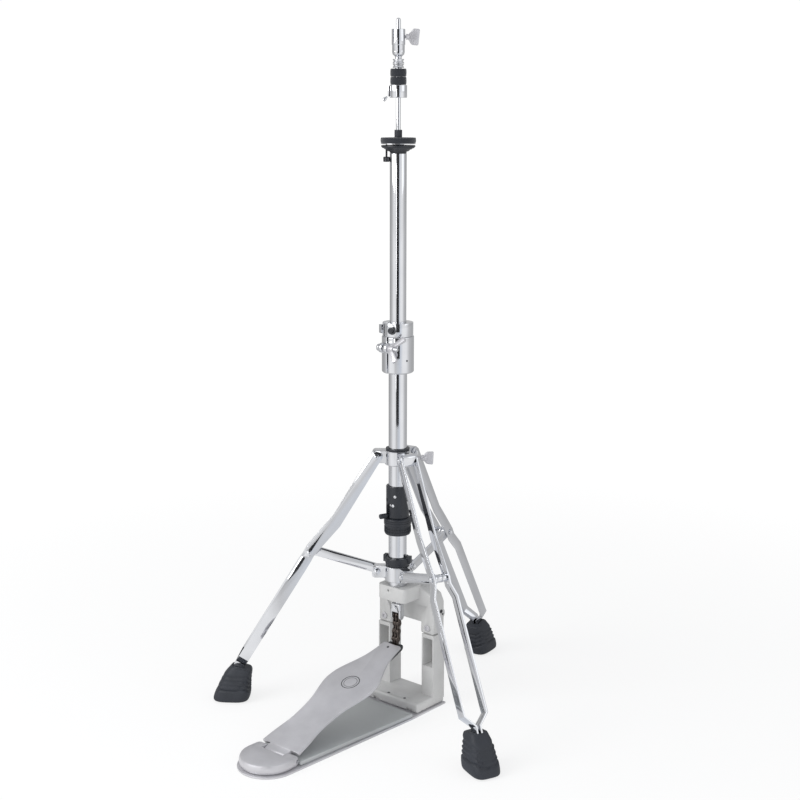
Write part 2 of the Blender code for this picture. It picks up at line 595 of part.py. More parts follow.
def make_collars():
    upper = turned(
        "upper_collar", "chrome", ((19.6, 421), (20.4, 420.2), (20.4, 399.3), (19.6, 398.5)),
        ((17.2, 398.5), (17.2, 421)), 28,
    )
    lower = turned(
        "lower_collar", "chrome", ((19.6, 233.5), (20.4, 232.7), (20.4, 210.3), (19.6, 209.5)),
        ((LOWER_TUBE_R + GAP, 209.5), (LOWER_TUBE_R + GAP, 233.5)), 28,
    )
    for i, azimuth in enumerate(LEG_AZIMUTHS):
        join(upper, turned_by(lug_mesh(f"upper_lug_{i}", LEG_TOP, -LUG_HALF, LUG_HALF), azimuth))
        join(lower, turned_by(lug_mesh(f"lower_lug_{i}", BRACE_ROOT, *LOWER_LUG_SIDES), azimuth))
        for collar, (radius, height) in ((upper, LEG_TOP), (lower, BRACE_ROOT)):
            bore = rod_mesh(f"{collar.name}_bore_{i}", BORE_R, (radius, -20, height), 40, "Y", 16)
            cut(collar, turned_by(bore, azimuth))
    boss = rod_mesh("wing_boss", 6.5, (17.6, 0, LEG_TOP[1] - 3), 10, "X")
    join(upper, turned_by(boss, COLLAR_WING_AZIMUTH))
    cut(upper, turned_by(rod_mesh("wing_way", 2.9, (10, 0, LEG_TOP[1] - 3), 30, "X"), COLLAR_WING_AZIMUTH))
    inner = LOWER_TUBE_R + GAP
    turned(
        "collar_bushing", "nylon", ((18.6, 424.6), (18.6, 421.4), (16.9, 421.4), (16.9, 399)),
        ((inner, 399), (inner, 424.6)), 32,
    )
    at = (0, 0, LEG_TOP[1] - 3)
    turn = (0, 0, COLLAR_WING_AZIMUTH)
    wing = place("collar_wing_screw", rod_mesh("stem", 2.6, (17.4, 0, 0), 22, "X", 14), "satin", at, turn)
    join(wing, rod_mesh("wing_hub", 4.6, (37, 0, 0), 8, "X", 18, 3.4), at=at, turn=turn)
    blade = [(40, -4), (45, -9.5), (55, -10.5), (56, 10.5), (45, 10), (40, 4)]
    join(wing, outline_mesh("wing_blade", blade, 4.0, STANDING), at=at, turn=turn)
    ring = turned(
        "lower_lock_ring", "nylon", ((18.6, 247), (19.8, 245.5), (19.8, 238.5), (18.8, 237), (18.8, 234.2)),
        ((inner, 234.2), (inner, 247)), 32,
    )
    for i, azimuth in enumerate((200, 20)):
        ear = box_mesh(f"lock_ear_{i}", (17.5, -5, 238.5), (22.3, 5, 249.5))
        join(ring, turned_by(ear, azimuth))


def bar_rows():
    """The bar's centre line from its round end to the foot: radius, height, sideways offset, half width."""
    run = math.atan2(LEG_BEND[0] - LEG_TOP[0], LEG_TOP[1] - LEG_BEND[1])
    half = BAR_WIDTH / 2
    rows = []
    for i in range(6):
        back = half * math.cos(math.radians(18 + 72 * i / 5))
        width = math.sqrt(half * half - back * back)
        radius = LEG_TOP[0] - math.sin(run) * back
        rows.append((radius, LEG_TOP[1] + math.cos(run) * back, BAR_UPPER_SPACING, width))
    for radius, height in ((89.4, 315.7), LEG_BEND, (105.3, 293.6), (129.0, 265.6), LEG_MID, (143.8, 243.9)):
        rows.append((radius, height, BAR_UPPER_SPACING, half))
    rows.append((154.5, 226.8, BAR_LOWER_SPACING, half))
    rows.append((245.0, 78.2, BAR_LOWER_SPACING, half))
    rows.append((253.0, 64.4, 3.4, half))
    rows.append((269.0, 33.0, 3.4, half))
    return rows


def bar_mesh(name, side):
    rows = bar_rows()
    mesh = bpy.data.meshes.new(name)
    shape = bmesh.new()
    pairs = []
    for i, (radius, height, offset, half) in enumerate(rows):
        before, after = rows[max(i - 1, 0)], rows[min(i + 1, len(rows) - 1)]
        way = Vector((after[0] - before[0], after[1] - before[1])).normalized()
        across = Vector((-way.y, way.x)) * half
        ends = [(radius + across.x * s, side * offset, height + across.y * s) for s in (-1, 1)]
        pairs.append([shape.verts.new(Vector(end) * MM) for end in ends])
    for (a, b), (c, d) in zip(pairs, pairs[1:]):
        shape.faces.new((a, b, d, c))
    shape.to_mesh(mesh)
    shape.free()
    return mesh


def make_leg(number, azimuth):
    turn = (0, 0, azimuth)
    for side, word in ((-1, "a"), (1, "b")):
        bar = place(f"leg_{number}_bar_{word}", bar_mesh("strip", side), "chrome", turn=turn)
        thick = bar.modifiers.new("thickness", "SOLIDIFY")
        thick.thickness = BAR_THICK * MM
        thick.offset = 0
        thick.use_even_offset = True
        outer = side * (BAR_UPPER_SPACING + BAR_THICK / 2 - 0.5)
        start = min(outer, outer + side * 2.2)
        for place_name, (radius, height) in (("top", LEG_TOP), ("mid", LEG_MID)):
            rivet = rod_mesh(f"rivet_{place_name}_{number}{word}", 4.2, (radius, start, height), 2.2, "Y", 12)
            join(bar, rivet, turn=turn)
    inside = BAR_UPPER_SPACING - BAR_THICK / 2
    pin = rod_mesh(f"leg_pin_{number}", PIVOT_R, (LEG_TOP[0], GAP - inside, LEG_TOP[1]), 2 * inside, "Y", 16)
    core_start = LOWER_LUG_SIDES[0]
    core = rod_mesh(
        f"spool_{number}", 4.8, (LEG_MID[0], core_start, LEG_MID[1]), inside + 0.5 - core_start, "Y", 14
    )
    join(bar, pin, core, turn=turn)
    for i in range(2):
        start = (LEG_MID[0], core_start + 0.6 + 8.4 * i, LEG_MID[1])
        join(bar, rod_mesh(f"roller_{number}_{i}", 6.2, start, 7.4, "Y", 18), turn=turn)
    make_foot(number, azimuth)


# radius and height of the rubber foot's inner and outer edge, ring by ring, and its half width across
FOOT_RINGS = (
    ((247, 0.0), (292, 0.0), 17),
    ((241, 3.0), (297.5, 3.0), 21.5),
    ((239, 9), (297, 10), 22.5),
    ((238, 20), (292, 22), 22),
    ((237, 36), (282, 42), 19.5),
    ((235.5, 52), (272.5, 58), 16),
    ((236.5, 57), (268, 64), 14),
)
FOOT_SIDES = 20


def make_foot(number, azimuth):
    mesh = bpy.data.meshes.new("foot")
    shape = bmesh.new()
    rings = []
    for (inner_r, inner_z), (outer_r, outer_z), half in FOOT_RINGS:
        ring = []
        for i in range(FOOT_SIDES):
            angle = 2 * math.pi * i / FOOT_SIDES
            fore, side = (abs(math.cos(angle)) ** 0.6, abs(math.sin(angle)) ** 0.6)
            fore = math.copysign(fore, math.cos(angle))
            side = math.copysign(side, math.sin(angle))
            mix = (1 + fore) / 2
            ring.append(shape.verts.new(Vector((
                inner_r + (outer_r - inner_r) * mix, half * side, inner_z + (outer_z - inner_z) * mix
            )) * MM))
        rings.append(ring)
    for low, high in zip(rings, rings[1:]):
        for i in range(FOOT_SIDES):
            j = (i + 1) % FOOT_SIDES
            shape.faces.new((low[i], low[j], high[j], high[i]))
    shape.faces.new(list(reversed(rings[0])))
    shape.faces.new(rings[-1])
    bmesh.ops.recalc_face_normals(shape, faces=shape.faces)
    shape.to_mesh(mesh)
    shape.free()
    foot = place(f"rubber_foot_{number}", mesh, "rubber", turn=(0, 0, azimuth))
    lean = math.degrees(math.atan2(269 - 253, 64.4 - 33))
    pocket = box_mesh(f"foot_pocket_{number}", (-9.2, -5.4, -22), (9.2, 5.4, 60))
    pocket.transform(Matrix.Rotation(math.radians(-lean), 4, "Y"))
    pocket.transform(Matrix.Translation(Vector((263.1, 0, 45)) * MM))
    cut(foot, pocket, turn=(0, 0, azimuth))
    return foot


def make_brace(number, azimuth):
    """A flat strap along the first side of the lug, with the rivet that runs through the lug."""
    (r0, z0), (r1, z1) = BRACE_ROOT, LEG_MID
    slope = math.degrees(math.atan2(z1 - z0, r1 - r0))
    half = BRACE_WIDTH / 2
    outline = arc((r0, z0), half, slope + 90, slope + 270, 8) + arc((r1, z1), half, slope - 90, slope + 90, 8)
    near, far = LOWER_LUG_SIDES
    inner = near - GAP
    turn = (0, 0, azimuth)
    strap = outline_mesh("strap", outline, BRACE_THICK, STANDING, (0, inner - BRACE_THICK / 2, 0))
    brace = place(f"brace_{number}", strap, "chrome", turn=turn)
    join(
        brace,
        rod_mesh(f"brace_rivet_{number}", PIVOT_R, (r0, inner - 2, z0), far - inner + 3, "Y", 16),
        rod_mesh(f"rivet_head_{number}", 4.6, (r0, far + GAP, z0), 1.7, "Y", 16),
        rod_mesh(f"rivet_tail_{number}", 4.6, (r0, inner - BRACE_THICK - 1.5, z0), 2.5, "Y", 16),
        turn=turn,
    )
    return brace


# ---- Seat and clutch --------------------------------------------------------------------------------


def make_seat():
    bore = 5.2
    base = turned(
        "seat_base", "nylon",
        ((25.4, 886.9), (25.4, 884), (21, 882), (15, 878), (12.4, UPPER_TUBE_TOP + GAP),
         (11.2, UPPER_TUBE_TOP + GAP), (11.2, 852)),
        ((bore, 852), (bore, 876), (12, 879), (12, 884.5), (23.5, 886.9)), 26,
    )
    at = radial(TILT_AZIMUTH, TILT_RADIUS)
    cut(base, rod_mesh("tilt_way", 1.9, (0, 0, 860), 40, segments=12), at=at)
    screw = place("tilt_screw", rod_mesh("tilt_stem", 1.6, (0, 0, 868), 20.2, segments=12), "steel", at)
    join(screw, rod_mesh("tilt_knob", 4.6, (0, 0, 862.5), 7.5, segments=14), at=at)

    pivot = (0, 0, SEAT_PIVOT_Z)
    drop = SEAT_PIVOT_Z
    turned(
        "seat_plate", "chrome",
        ((SEAT_R, 889.8 - drop), (SEAT_R, 888.8 - drop), (9, 888.8 - drop), (8.4, 881 - drop)),
        ((bore, 881 - drop), (bore, 889.8 - drop)), 32, pivot,
    )
    turned(
        "seat_felt", "felt",
        ((26.4, SEAT_FELT_TOP - drop), (26.4, 890.1 - drop)),
        ((6.2, 890.1 - drop), (6.2, SEAT_FELT_TOP - drop)), 32, pivot,
    )
    turned(
        "seat_sleeve", "rubber", ((5.7, 909.4 - drop), (5.7, 890.1 - drop)),
        ((4.6, 890.1 - drop), (4.6, 909.4 - drop)), 20, pivot,
    )


def make_clutch():
    bore = ROD_R + GAP
    body = turned(
        "clutch_body", "chrome",
        ((9.9, 1054), (9.9, 1031.5), (9.2, 1031), (9.2, 1021), (8.2, 1018), (4.9, 1015), (4.9, 957)),
        ((bore, 957), (bore, 1054)), 24,
    )
    slit = box_mesh("clutch_slit", (-1.0, -20, 1036), (1.0, -2, 1060))
    cut(body, slit)
    height = 1043
    way = turned_by(rod_mesh("clutch_screw_way", 2.5, (2, 0, height), 20, "X"), CLUTCH_WING_AZIMUTH)
    cut(body, way)
    at = (0, 0, height)
    turn = (0, 0, CLUTCH_WING_AZIMUTH)
    stem = rod_mesh("clutch_stem", 2.2, (4.2, 0, 0), 12, "X", 14)
    wing = place("clutch_wing_screw", stem, "satin", at, turn)
    join(wing, rod_mesh("clutch_hub", 4.2, (11.2, 0, 0), 5, "X", 16, 3.2), at=at, turn=turn)
    blade = [(14, -3.5), (19, -11.5), (29, -12.5), (31.5, 11), (22, 12), (19, 8), (14, 3.5)]
    join(wing, outline_mesh("clutch_blade", blade, 3.6, STANDING), at=at, turn=turn)

    thread = 4.9 + GAP
    for name, low in (("upper_lock_nut", 1005.4), ("lower_lock_nut", 998.9)):
        turned(
            name, "chrome", ((8.2, low + 6), (8.6, low + 5.4), (6.8, low + 3), (8.6, low + 0.6), (8.2, low)),
            ((thread, low), (thread, low + 6)), 18,
        )
    for name, low in (("upper_clutch_felt", 986.3), ("lower_clutch_felt", 974.6)):
        turned(
            name, "felt", ((12, low + 11.3), (12, low)),
            ((thread, low), (thread, low + 11.3)), 24,
        )
    nut = turned(
        "bottom_nut", "chrome", ((12.8, 974.2), (12.8, 955.8)), ((thread, 955.8), (thread, 974.2)), 28,
    )
    join(nut, turned_by(box_mesh("nut_lug", (10, -4, 957.5), (15.4, 4, 973)), TILT_AZIMUTH))
    root = radial(TILT_AZIMUTH, 16.6, 957.2)
    droop = (0, 42, TILT_AZIMUTH)
    lever = place("release_lever", rod_mesh("lever_arm", 1.6, (0, 0, 0), 6, "X", 12), "chrome", root, droop)
    join(lever, rod_mesh("lever_tip", 2.7, (3.2, 0, 0), 4.6, "X", 14), at=root, turn=droop)
    return body


make_base()
make_frame()
make_head()
make_footboard()
make_chain()
make_pull_rod()
make_spring()
make_tension()
make_column()
make_collars()
for leg_number, leg_azimuth in enumerate(LEG_AZIMUTHS, start=1):
    make_leg(leg_number, leg_azimuth)
    make_brace(leg_number, leg_azimuth)
make_seat()
make_clutch()
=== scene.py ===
"""Looks of the hi-hat stand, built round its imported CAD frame.

Lengths are in millimetres until they reach Blender, which holds metres.
"""

import json
import math

import bmesh
import bpy
from mathutils import Matrix, Vector

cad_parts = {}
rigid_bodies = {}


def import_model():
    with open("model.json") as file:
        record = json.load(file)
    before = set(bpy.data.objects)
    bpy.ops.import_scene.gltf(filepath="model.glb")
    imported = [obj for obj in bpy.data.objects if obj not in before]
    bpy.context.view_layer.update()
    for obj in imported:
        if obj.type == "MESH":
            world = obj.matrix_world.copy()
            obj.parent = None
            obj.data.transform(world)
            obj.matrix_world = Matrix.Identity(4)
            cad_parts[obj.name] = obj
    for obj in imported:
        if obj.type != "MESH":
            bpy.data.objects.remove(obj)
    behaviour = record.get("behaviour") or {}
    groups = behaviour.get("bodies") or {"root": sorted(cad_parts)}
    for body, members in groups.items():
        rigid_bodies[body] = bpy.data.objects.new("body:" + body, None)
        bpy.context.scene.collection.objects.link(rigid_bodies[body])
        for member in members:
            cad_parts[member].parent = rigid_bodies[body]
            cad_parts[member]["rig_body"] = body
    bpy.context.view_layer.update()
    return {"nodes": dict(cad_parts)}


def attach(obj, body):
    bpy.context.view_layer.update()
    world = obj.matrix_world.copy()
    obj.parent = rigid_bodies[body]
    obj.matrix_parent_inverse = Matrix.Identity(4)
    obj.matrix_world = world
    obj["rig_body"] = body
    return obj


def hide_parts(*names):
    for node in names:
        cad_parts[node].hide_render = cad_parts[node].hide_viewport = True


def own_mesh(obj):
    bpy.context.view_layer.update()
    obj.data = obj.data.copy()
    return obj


MM = 0.001
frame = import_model()

# ---- Camera, floor and light ------------------------------------------------------------------------

CAMERA_AT = (1.3809, -1.6157, 0.9512)
CAMERA_HEADING = 40.43
CAMERA_TILT = 78.01
CAMERA_ROLL = 0.12
CAMERA_LENS = 63.37
VIEW_AZIMUTH = -49.5  # direction from the column to the camera, about Z from +X


def make_camera():
    data = bpy.data.cameras.new("camera")
    data.lens = CAMERA_LENS
    data.sensor_width = 36
    camera = bpy.data.objects.new("camera", data)
    turn = Matrix.Rotation(math.radians(CAMERA_HEADING), 4, "Z")
    turn = turn @ Matrix.Rotation(math.radians(CAMERA_TILT), 4, "X")
    turn = turn @ Matrix.Rotation(math.radians(CAMERA_ROLL), 4, "Z")
    camera.matrix_world = Matrix.Translation(CAMERA_AT) @ turn
    bpy.context.scene.collection.objects.link(camera)
    bpy.context.scene.camera = camera


def node(tree, kind, inputs=None, **settings):
    """A shader node; an input is a value or another node's socket."""
    made = tree.nodes.new(kind)
    for key, value in settings.items():
        setattr(made, key, value)
    for key, value in (inputs or {}).items():
        if isinstance(value, bpy.types.NodeSocket):
            tree.links.new(value, made.inputs[key])
        else:
            made.inputs[key].default_value = value
    return made


def ramp(tree, factor, stops):
    """A colour ramp of (position, grey) or (position, colour) stops."""
    made = node(tree, "ShaderNodeValToRGB", {"Fac": factor})
    elements = made.color_ramp.elements
    while len(elements) < len(stops):
        elements.new(0.5)
    for element, (position, colour) in zip(elements, stops):
        element.position = position
        rgb = (colour,) * 3 if isinstance(colour, (int, float)) else colour
        element.color = (*rgb, 1.0)
    return made.outputs["Color"]


# Brightness of the studio walls round the stand, from behind it, past the camera at 0.5, and back
WALLS = (
    (0.0, 0.62), (0.05, 0.45), (0.16, 0.42), (0.25, 0.62), (0.33, 1.0), (0.41, 0.95), (0.45, 0.62),
    (0.55, (0.70, 0.74, 0.80)), (0.60, 1.0), (0.67, 1.0), (0.75, 0.60), (0.84, 0.48), (0.94, 0.5),
    (1.0, 0.62),
)
CEILING = (0.62, 0.63, 0.65, 1.0)
CEILING_STARTS, CEILING_FULL = 0.45, 0.8  # height of the direction, from 0 at the horizon to 1
BACKDROP = (1.1, 1.1, 1.1, 1.0)  # what the camera sees behind the stand
WORLD_STRENGTH = 0.92

FLOOR_SPAN = 30
FLOOR_PAINT = (0.93, 0.93, 0.93, 1)
FLOOR_GLOW = (1.04, 1.04, 1.04, 1.0)
GLOW_NEAR, GLOW_FAR = 0.2, 2.2  # metres from the column between which the floor fades to its glow
GLOW_AT_COLUMN = 0.72

FLAG_CLOTH = (0.012, 0.013, 0.016, 1)
FLAG_BOTTOM, FLAG_TOP = 0.24, 2.4
FLAG_LEFT, FLAG_RIGHT = -21, 13
FLAG_DISTANCE = 1.55


def wall_light(tree, direction):
    """The walls' brightness in a direction, and the direction's height."""
    turned = node(
        tree, "ShaderNodeVectorRotate", {"Vector": direction, "Angle": math.radians(-VIEW_AZIMUTH)},
        rotation_type="Z_AXIS",
    )
    parts = node(tree, "ShaderNodeSeparateXYZ", {"Vector": turned.outputs["Vector"]})
    angle = node(
        tree, "ShaderNodeMath", {0: parts.outputs["Y"], 1: parts.outputs["X"]}, operation="ARCTAN2"
    )
    share = node(
        tree, "ShaderNodeMapRange",
        {"Value": angle.outputs[0], "From Min": -math.pi, "From Max": math.pi},
    )
    return ramp(tree, share.outputs["Result"], WALLS), parts.outputs["Z"]


def make_world():
    world = bpy.data.worlds.new("studio")
    bpy.context.scene.world = world
    world.use_nodes = True
    tree = world.node_tree
    tree.nodes.clear()
    walls, height = wall_light(tree, node(tree, "ShaderNodeTexCoord").outputs["Generated"])
    above = ramp(tree, height, ((0.0, 0.0), (CEILING_STARTS, 0.0), (CEILING_FULL, 1.0)))
    room = node(tree, "ShaderNodeMix", {"Factor": above, "A": walls, "B": CEILING}, data_type="RGBA")
    seen = node(tree, "ShaderNodeLightPath").outputs["Is Camera Ray"]
    colour = node(
        tree, "ShaderNodeMix", {"Factor": seen, "A": room.outputs["Result"], "B": BACKDROP},
        data_type="RGBA",
    )
    background = node(
        tree, "ShaderNodeBackground", {"Color": colour.outputs["Result"], "Strength": WORLD_STRENGTH}
    )
    output = node(tree, "ShaderNodeOutputWorld")
    tree.links.new(background.outputs[0], output.inputs[0])


def around(azimuth, distance, height):
    """A place in metres; the azimuth is in degrees from the camera's side."""
    angle = math.radians(VIEW_AZIMUTH + azimuth)
    return Vector((distance * math.cos(angle), distance * math.sin(angle), height))


def area_light(name, at, target, size, power, tint=(1, 1, 1)):
    data = bpy.data.lights.new(name, "AREA")
    data.shape = "RECTANGLE"
    data.size, data.size_y = size
    data.energy = power
    data.color = tint
    made = bpy.data.objects.new(name, data)
    made.location = at
    made.rotation_euler = (Vector(target) - Vector(at)).to_track_quat("-Z", "Y").to_euler()
    bpy.context.scene.collection.objects.link(made)


def flat_card(name, corners, material):
    mesh = bpy.data.meshes.new(name)
    mesh.from_pydata(corners, [], [tuple(range(len(corners)))])
    made = bpy.data.objects.new(name, mesh)
    mesh.materials.append(material)
    bpy.context.scene.collection.objects.link(made)
    return made


def make_floor():
    """A pale floor, which glows more and more towards its far parts so that it has no visible edge."""
    paint = bpy.data.materials.new("floor_paint")
    paint.use_nodes = True
    tree = paint.node_tree
    shader = tree.nodes["Principled BSDF"]
    shader.inputs["Base Color"].default_value = FLOOR_PAINT
    shader.inputs["Roughness"].default_value = 0.9
    shader.inputs["Specular IOR Level"].default_value = 0.0
    spot = node(tree, "ShaderNodeTexCoord").outputs["Object"]
    reach = node(tree, "ShaderNodeVectorMath", {0: spot}, operation="LENGTH")
    glowing = node(
        tree, "ShaderNodeMapRange",
        {
            "Value": reach.outputs["Value"], "From Min": GLOW_NEAR, "From Max": GLOW_FAR,
            "To Min": GLOW_AT_COLUMN,
        },
        interpolation_type="SMOOTHSTEP",
    )
    seen = node(tree, "ShaderNodeLightPath").outputs["Is Camera Ray"]
    walls, _ = wall_light(tree, spot)
    shade = node(tree, "ShaderNodeMix", {"Factor": seen, "A": walls, "B": FLOOR_GLOW}, data_type="RGBA")
    glow = node(tree, "ShaderNodeEmission", {"Color": shade.outputs["Result"], "Strength": 1.0})
    faded = node(
        tree, "ShaderNodeMixShader", {0: glowing.outputs["Result"], 1: shader.outputs[0], 2: glow.outputs[0]}
    )
    tree.links.new(faded.outputs[0], tree.nodes["Material Output"].inputs["Surface"])
    half = FLOOR_SPAN
    flat_card("floor", [(-half, -half, 0), (half, -half, 0), (half, half, 0), (-half, half, 0)], paint)


def make_flag():
    """A narrow black flag beside the camera, which the upper chrome tube shows as a dark line."""
    cloth = bpy.data.materials.new("flag_cloth")
    cloth.use_nodes = True
    cloth.node_tree.nodes["Principled BSDF"].inputs["Base Color"].default_value = FLAG_CLOTH
    left, right = around(FLAG_LEFT, FLAG_DISTANCE, 0), around(FLAG_RIGHT, FLAG_DISTANCE, 0)
    flag = flat_card("flag", [
        (left.x, left.y, FLAG_BOTTOM), (right.x, right.y, FLAG_BOTTOM),
        (right.x, right.y, FLAG_TOP), (left.x, left.y, FLAG_TOP),
    ], cloth)
    flag.visible_camera = flag.visible_shadow = flag.visible_diffuse = False


def make_studio():
    bpy.context.scene.view_settings.view_transform = "Standard"
    make_camera()
    make_world()
    make_floor()
    make_flag()
    area_light("key", around(-62, 2.3, 1.7), (0, 0, 0.3), (1.6, 1.6), 30)
    area_light("fill", around(70, 2.6, 1.8), (0, 0, 0.5), (1.8, 1.8), 5, (0.94, 0.97, 1.0))
    area_light("front", around(-8, 2.0, 0.75), (0, 0, 0.12), (1.2, 0.8), 8)


# ---- Finishes ---------------------------------------------------------------------------------------


GRAIN_SHARE = 0.35  # how much of the drift in colour is the grain's
GRAIN_HEIGHT = 0.0004  # metres


def finish(name, dark, light, rough, metallic, mottle, grain, depth, detail=3.0, sheen=0.0):
    """A surface whose colour and roughness drift with a soft mottle, under a fine grain in relief.

    mottle and grain are noise scales, depth is the strength of the relief, and rough has the least and
    the greatest roughness.
    """
    made = bpy.data.materials.new(name)
    made.use_nodes = True
    tree = made.node_tree
    shader = tree.nodes["Principled BSDF"]
    spot = node(tree, "ShaderNodeTexCoord").outputs["Object"]
    clouds = node(
        tree, "ShaderNodeTexNoise", {"Vector": spot, "Scale": mottle, "Detail": detail, "Roughness": 0.6}
    ).outputs["Fac"]
    grains = node(
        tree, "ShaderNodeTexNoise", {"Vector": spot, "Scale": grain, "Detail": 2.0, "Roughness": 0.55}
    ).outputs["Fac"]
    spread = ramp(tree, clouds, ((0.32, 0.0), (0.68, 1.0)))
    speckle = ramp(tree, grains, ((0.35, 0.0), (0.65, 1.0)))
    both = node(
        tree, "ShaderNodeMix", {"Factor": GRAIN_SHARE, "A": spread, "B": speckle}, data_type="RGBA"
    ).outputs["Result"]
    colour = node(
        tree, "ShaderNodeMix", {"Factor": both, "A": (*dark, 1), "B": (*light, 1)}, data_type="RGBA"
    )
    tree.links.new(colour.outputs["Result"], shader.inputs["Base Color"])
    gloss = node(
        tree, "ShaderNodeMapRange", {"Value": spread, "To Min": rough[0], "To Max": rough[1]}
    )
    tree.links.new(gloss.outputs["Result"], shader.inputs["Roughness"])
    relief = node(
        tree, "ShaderNodeBump", {"Height": grains, "Strength": depth, "Distance": GRAIN_HEIGHT}
    )
    tree.links.new(relief.outputs["Normal"], shader.inputs["Normal"])
    shader.inputs["Metallic"].default_value = metallic
    shader.inputs["Sheen Weight"].default_value = sheen
    return made


CHROME = finish(
    "polished_chrome", (0.72, 0.73, 0.76), (0.79, 0.80, 0.825), (0.035, 0.075),
    metallic=1.0, mottle=25, grain=900, depth=0.012,
)
SATIN = finish(
    "satin_casting", (0.55, 0.545, 0.57), (0.63, 0.625, 0.65), (0.34, 0.46),
    metallic=0.55, mottle=45, grain=2600, depth=0.10,
)
BLASTED = finish(
    "blasted_casting", (0.53, 0.53, 0.525), (0.61, 0.61, 0.605), (0.42, 0.56),
    metallic=0.15, mottle=35, grain=1800, depth=0.22,
)
SHEET = finish(
    "grey_sheet", (0.46, 0.48, 0.485), (0.53, 0.55, 0.555), (0.36, 0.50),
    metallic=0.45, mottle=30, grain=2200, depth=0.14,
)
DARK_STEEL = finish(
    "chain_steel", (0.045, 0.042, 0.043), (0.20, 0.165, 0.145), (0.20, 0.38),
    metallic=1.0, mottle=260, grain=1500, depth=0.10,
)
SPRING_STEEL = finish(
    "spring_steel", (0.36, 0.36, 0.37), (0.50, 0.50, 0.51), (0.18, 0.32),
    metallic=1.0, mottle=120, grain=1500, depth=0.05,
)
NYLON = finish(
    "black_nylon", (0.010, 0.012, 0.017), (0.020, 0.023, 0.030), (0.30, 0.44),
    metallic=0.0, mottle=60, grain=1700, depth=0.10,
)
FELT = finish(
    "black_felt", (0.004, 0.005, 0.008), (0.026, 0.030, 0.040), (0.88, 0.98),
    metallic=0.0, mottle=700, grain=1600, depth=1.0, detail=6, sheen=0.35,
)
RUBBER = finish(
    "moulded_rubber", (0.016, 0.019, 0.026), (0.030, 0.034, 0.044), (0.50, 0.66),
    metallic=0.0, mottle=70, grain=1400, depth=0.25,
)
BLACKED = finish(
    "blacked_steel", (0.05, 0.052, 0.058), (0.11, 0.112, 0.12), (0.24, 0.38),
    metallic=0.9, mottle=90, grain=1500, depth=0.05,
)
INK = finish(
    "grey_ink", (0.05, 0.052, 0.058), (0.085, 0.087, 0.095), (0.45, 0.6),
    metallic=0.0, mottle=300, grain=2400, depth=0.05,
)


# ---- Shape tools ------------------------------------------------------------------------------------

WELD = 0.000004  # metres
FLAT = 0.8  # degrees between faces that count as one flat face


def piece(name, mesh, body, material, replaced=(), smooth=35.0):
    """A named piece that rides on a body, wears the finish given and stands for CAD nodes."""
    made = bpy.data.objects.new(name, mesh)
    bpy.context.scene.collection.objects.link(made)
    mesh.materials.clear()
    mesh.materials.append(material)
    mesh.shade_smooth()
    mesh.set_sharp_from_angle(angle=math.radians(smooth))
    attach(made, body)
    if replaced:
        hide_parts(*replaced)
    return made


def mesh_from(name, shape):
    """A mesh made from a bmesh, which is freed, with its faces turned outwards."""
    bmesh.ops.recalc_face_normals(shape, faces=shape.faces)
    mesh = bpy.data.meshes.new(name)
    shape.to_mesh(mesh)
    shape.free()
    return mesh


def with_modifiers(mesh, build):
    """The mesh after the modifiers that build adds to an object of it."""
    holder = bpy.data.objects.new("holder", mesh)
    bpy.context.scene.collection.objects.link(holder)
    build(holder)
    shown = holder.evaluated_get(bpy.context.evaluated_depsgraph_get())
    made = bpy.data.meshes.new_from_object(shown)
    bpy.data.objects.remove(holder)
    return made


def rounded(mesh, width, segments=2, angle=32.0):
    """The mesh with its sharp edges rounded."""
    def build(holder):
        step = holder.modifiers.new("round", "BEVEL")
        step.width = width * MM
        step.segments = segments
        step.limit_method = "ANGLE"
        step.angle_limit = math.radians(angle)
        step.miter_outer = "MITER_ARC"
        step.use_clamp_overlap = True

    return with_modifiers(mesh, build)


def clean_copy(name):
    """A CAD node's mesh, with its flat faces whole again."""
    shape = bmesh.new()
    shape.from_mesh(frame["nodes"][name].data)
    bmesh.ops.remove_doubles(shape, verts=shape.verts, dist=WELD)
    bmesh.ops.dissolve_limit(
        shape, angle_limit=math.radians(FLAT), verts=shape.verts, edges=shape.edges,
        use_dissolve_boundaries=False,
    )
    return mesh_from(f"{name}_shape", shape)


def refined(node_name, material, width):
    """A CAD node's own shape with rounded edges."""
    mesh = rounded(clean_copy(node_name), width)
    body = frame["nodes"][node_name]["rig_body"]
    return piece(f"{node_name}_skin", mesh, body, material, (node_name,))


def fillet(points, radius, steps=3, closed=True):
    """The outline with its corners rounded."""
    found = []
    count = len(points)
    for i, corner in enumerate(points):
        here = Vector(corner)
        if not closed and i in (0, count - 1):
            found.append(here)
            continue
        before, after = Vector(points[i - 1]) - here, Vector(points[(i + 1) % count]) - here
        reach = min(radius, before.length * 0.45, after.length * 0.45)
        start, end = here + before.normalized() * reach, here + after.normalized() * reach
        for k in range(steps + 1):
            t = k / steps
            found.append(start * (1 - t) ** 2 + here * 2 * t * (1 - t) + end * t * t)
    return found


def lathe_mesh(name, loop, segments=96):
    """A ring turned about Z from a closed loop of (radius, height) points."""
    shape = bmesh.new()
    rings = []
    for i in range(segments):
        angle = 2 * math.pi * i / segments
        c, s = math.cos(angle), math.sin(angle)
        rings.append([shape.verts.new((r * c * MM, r * s * MM, z * MM)) for r, z in loop])
    for i, ring in enumerate(rings):
        after = rings[(i + 1) % segments]
        for k in range(len(loop)):
            m = (k + 1) % len(loop)
            shape.faces.new((ring[k], after[k], after[m], ring[m]))
    return mesh_from(name, shape)


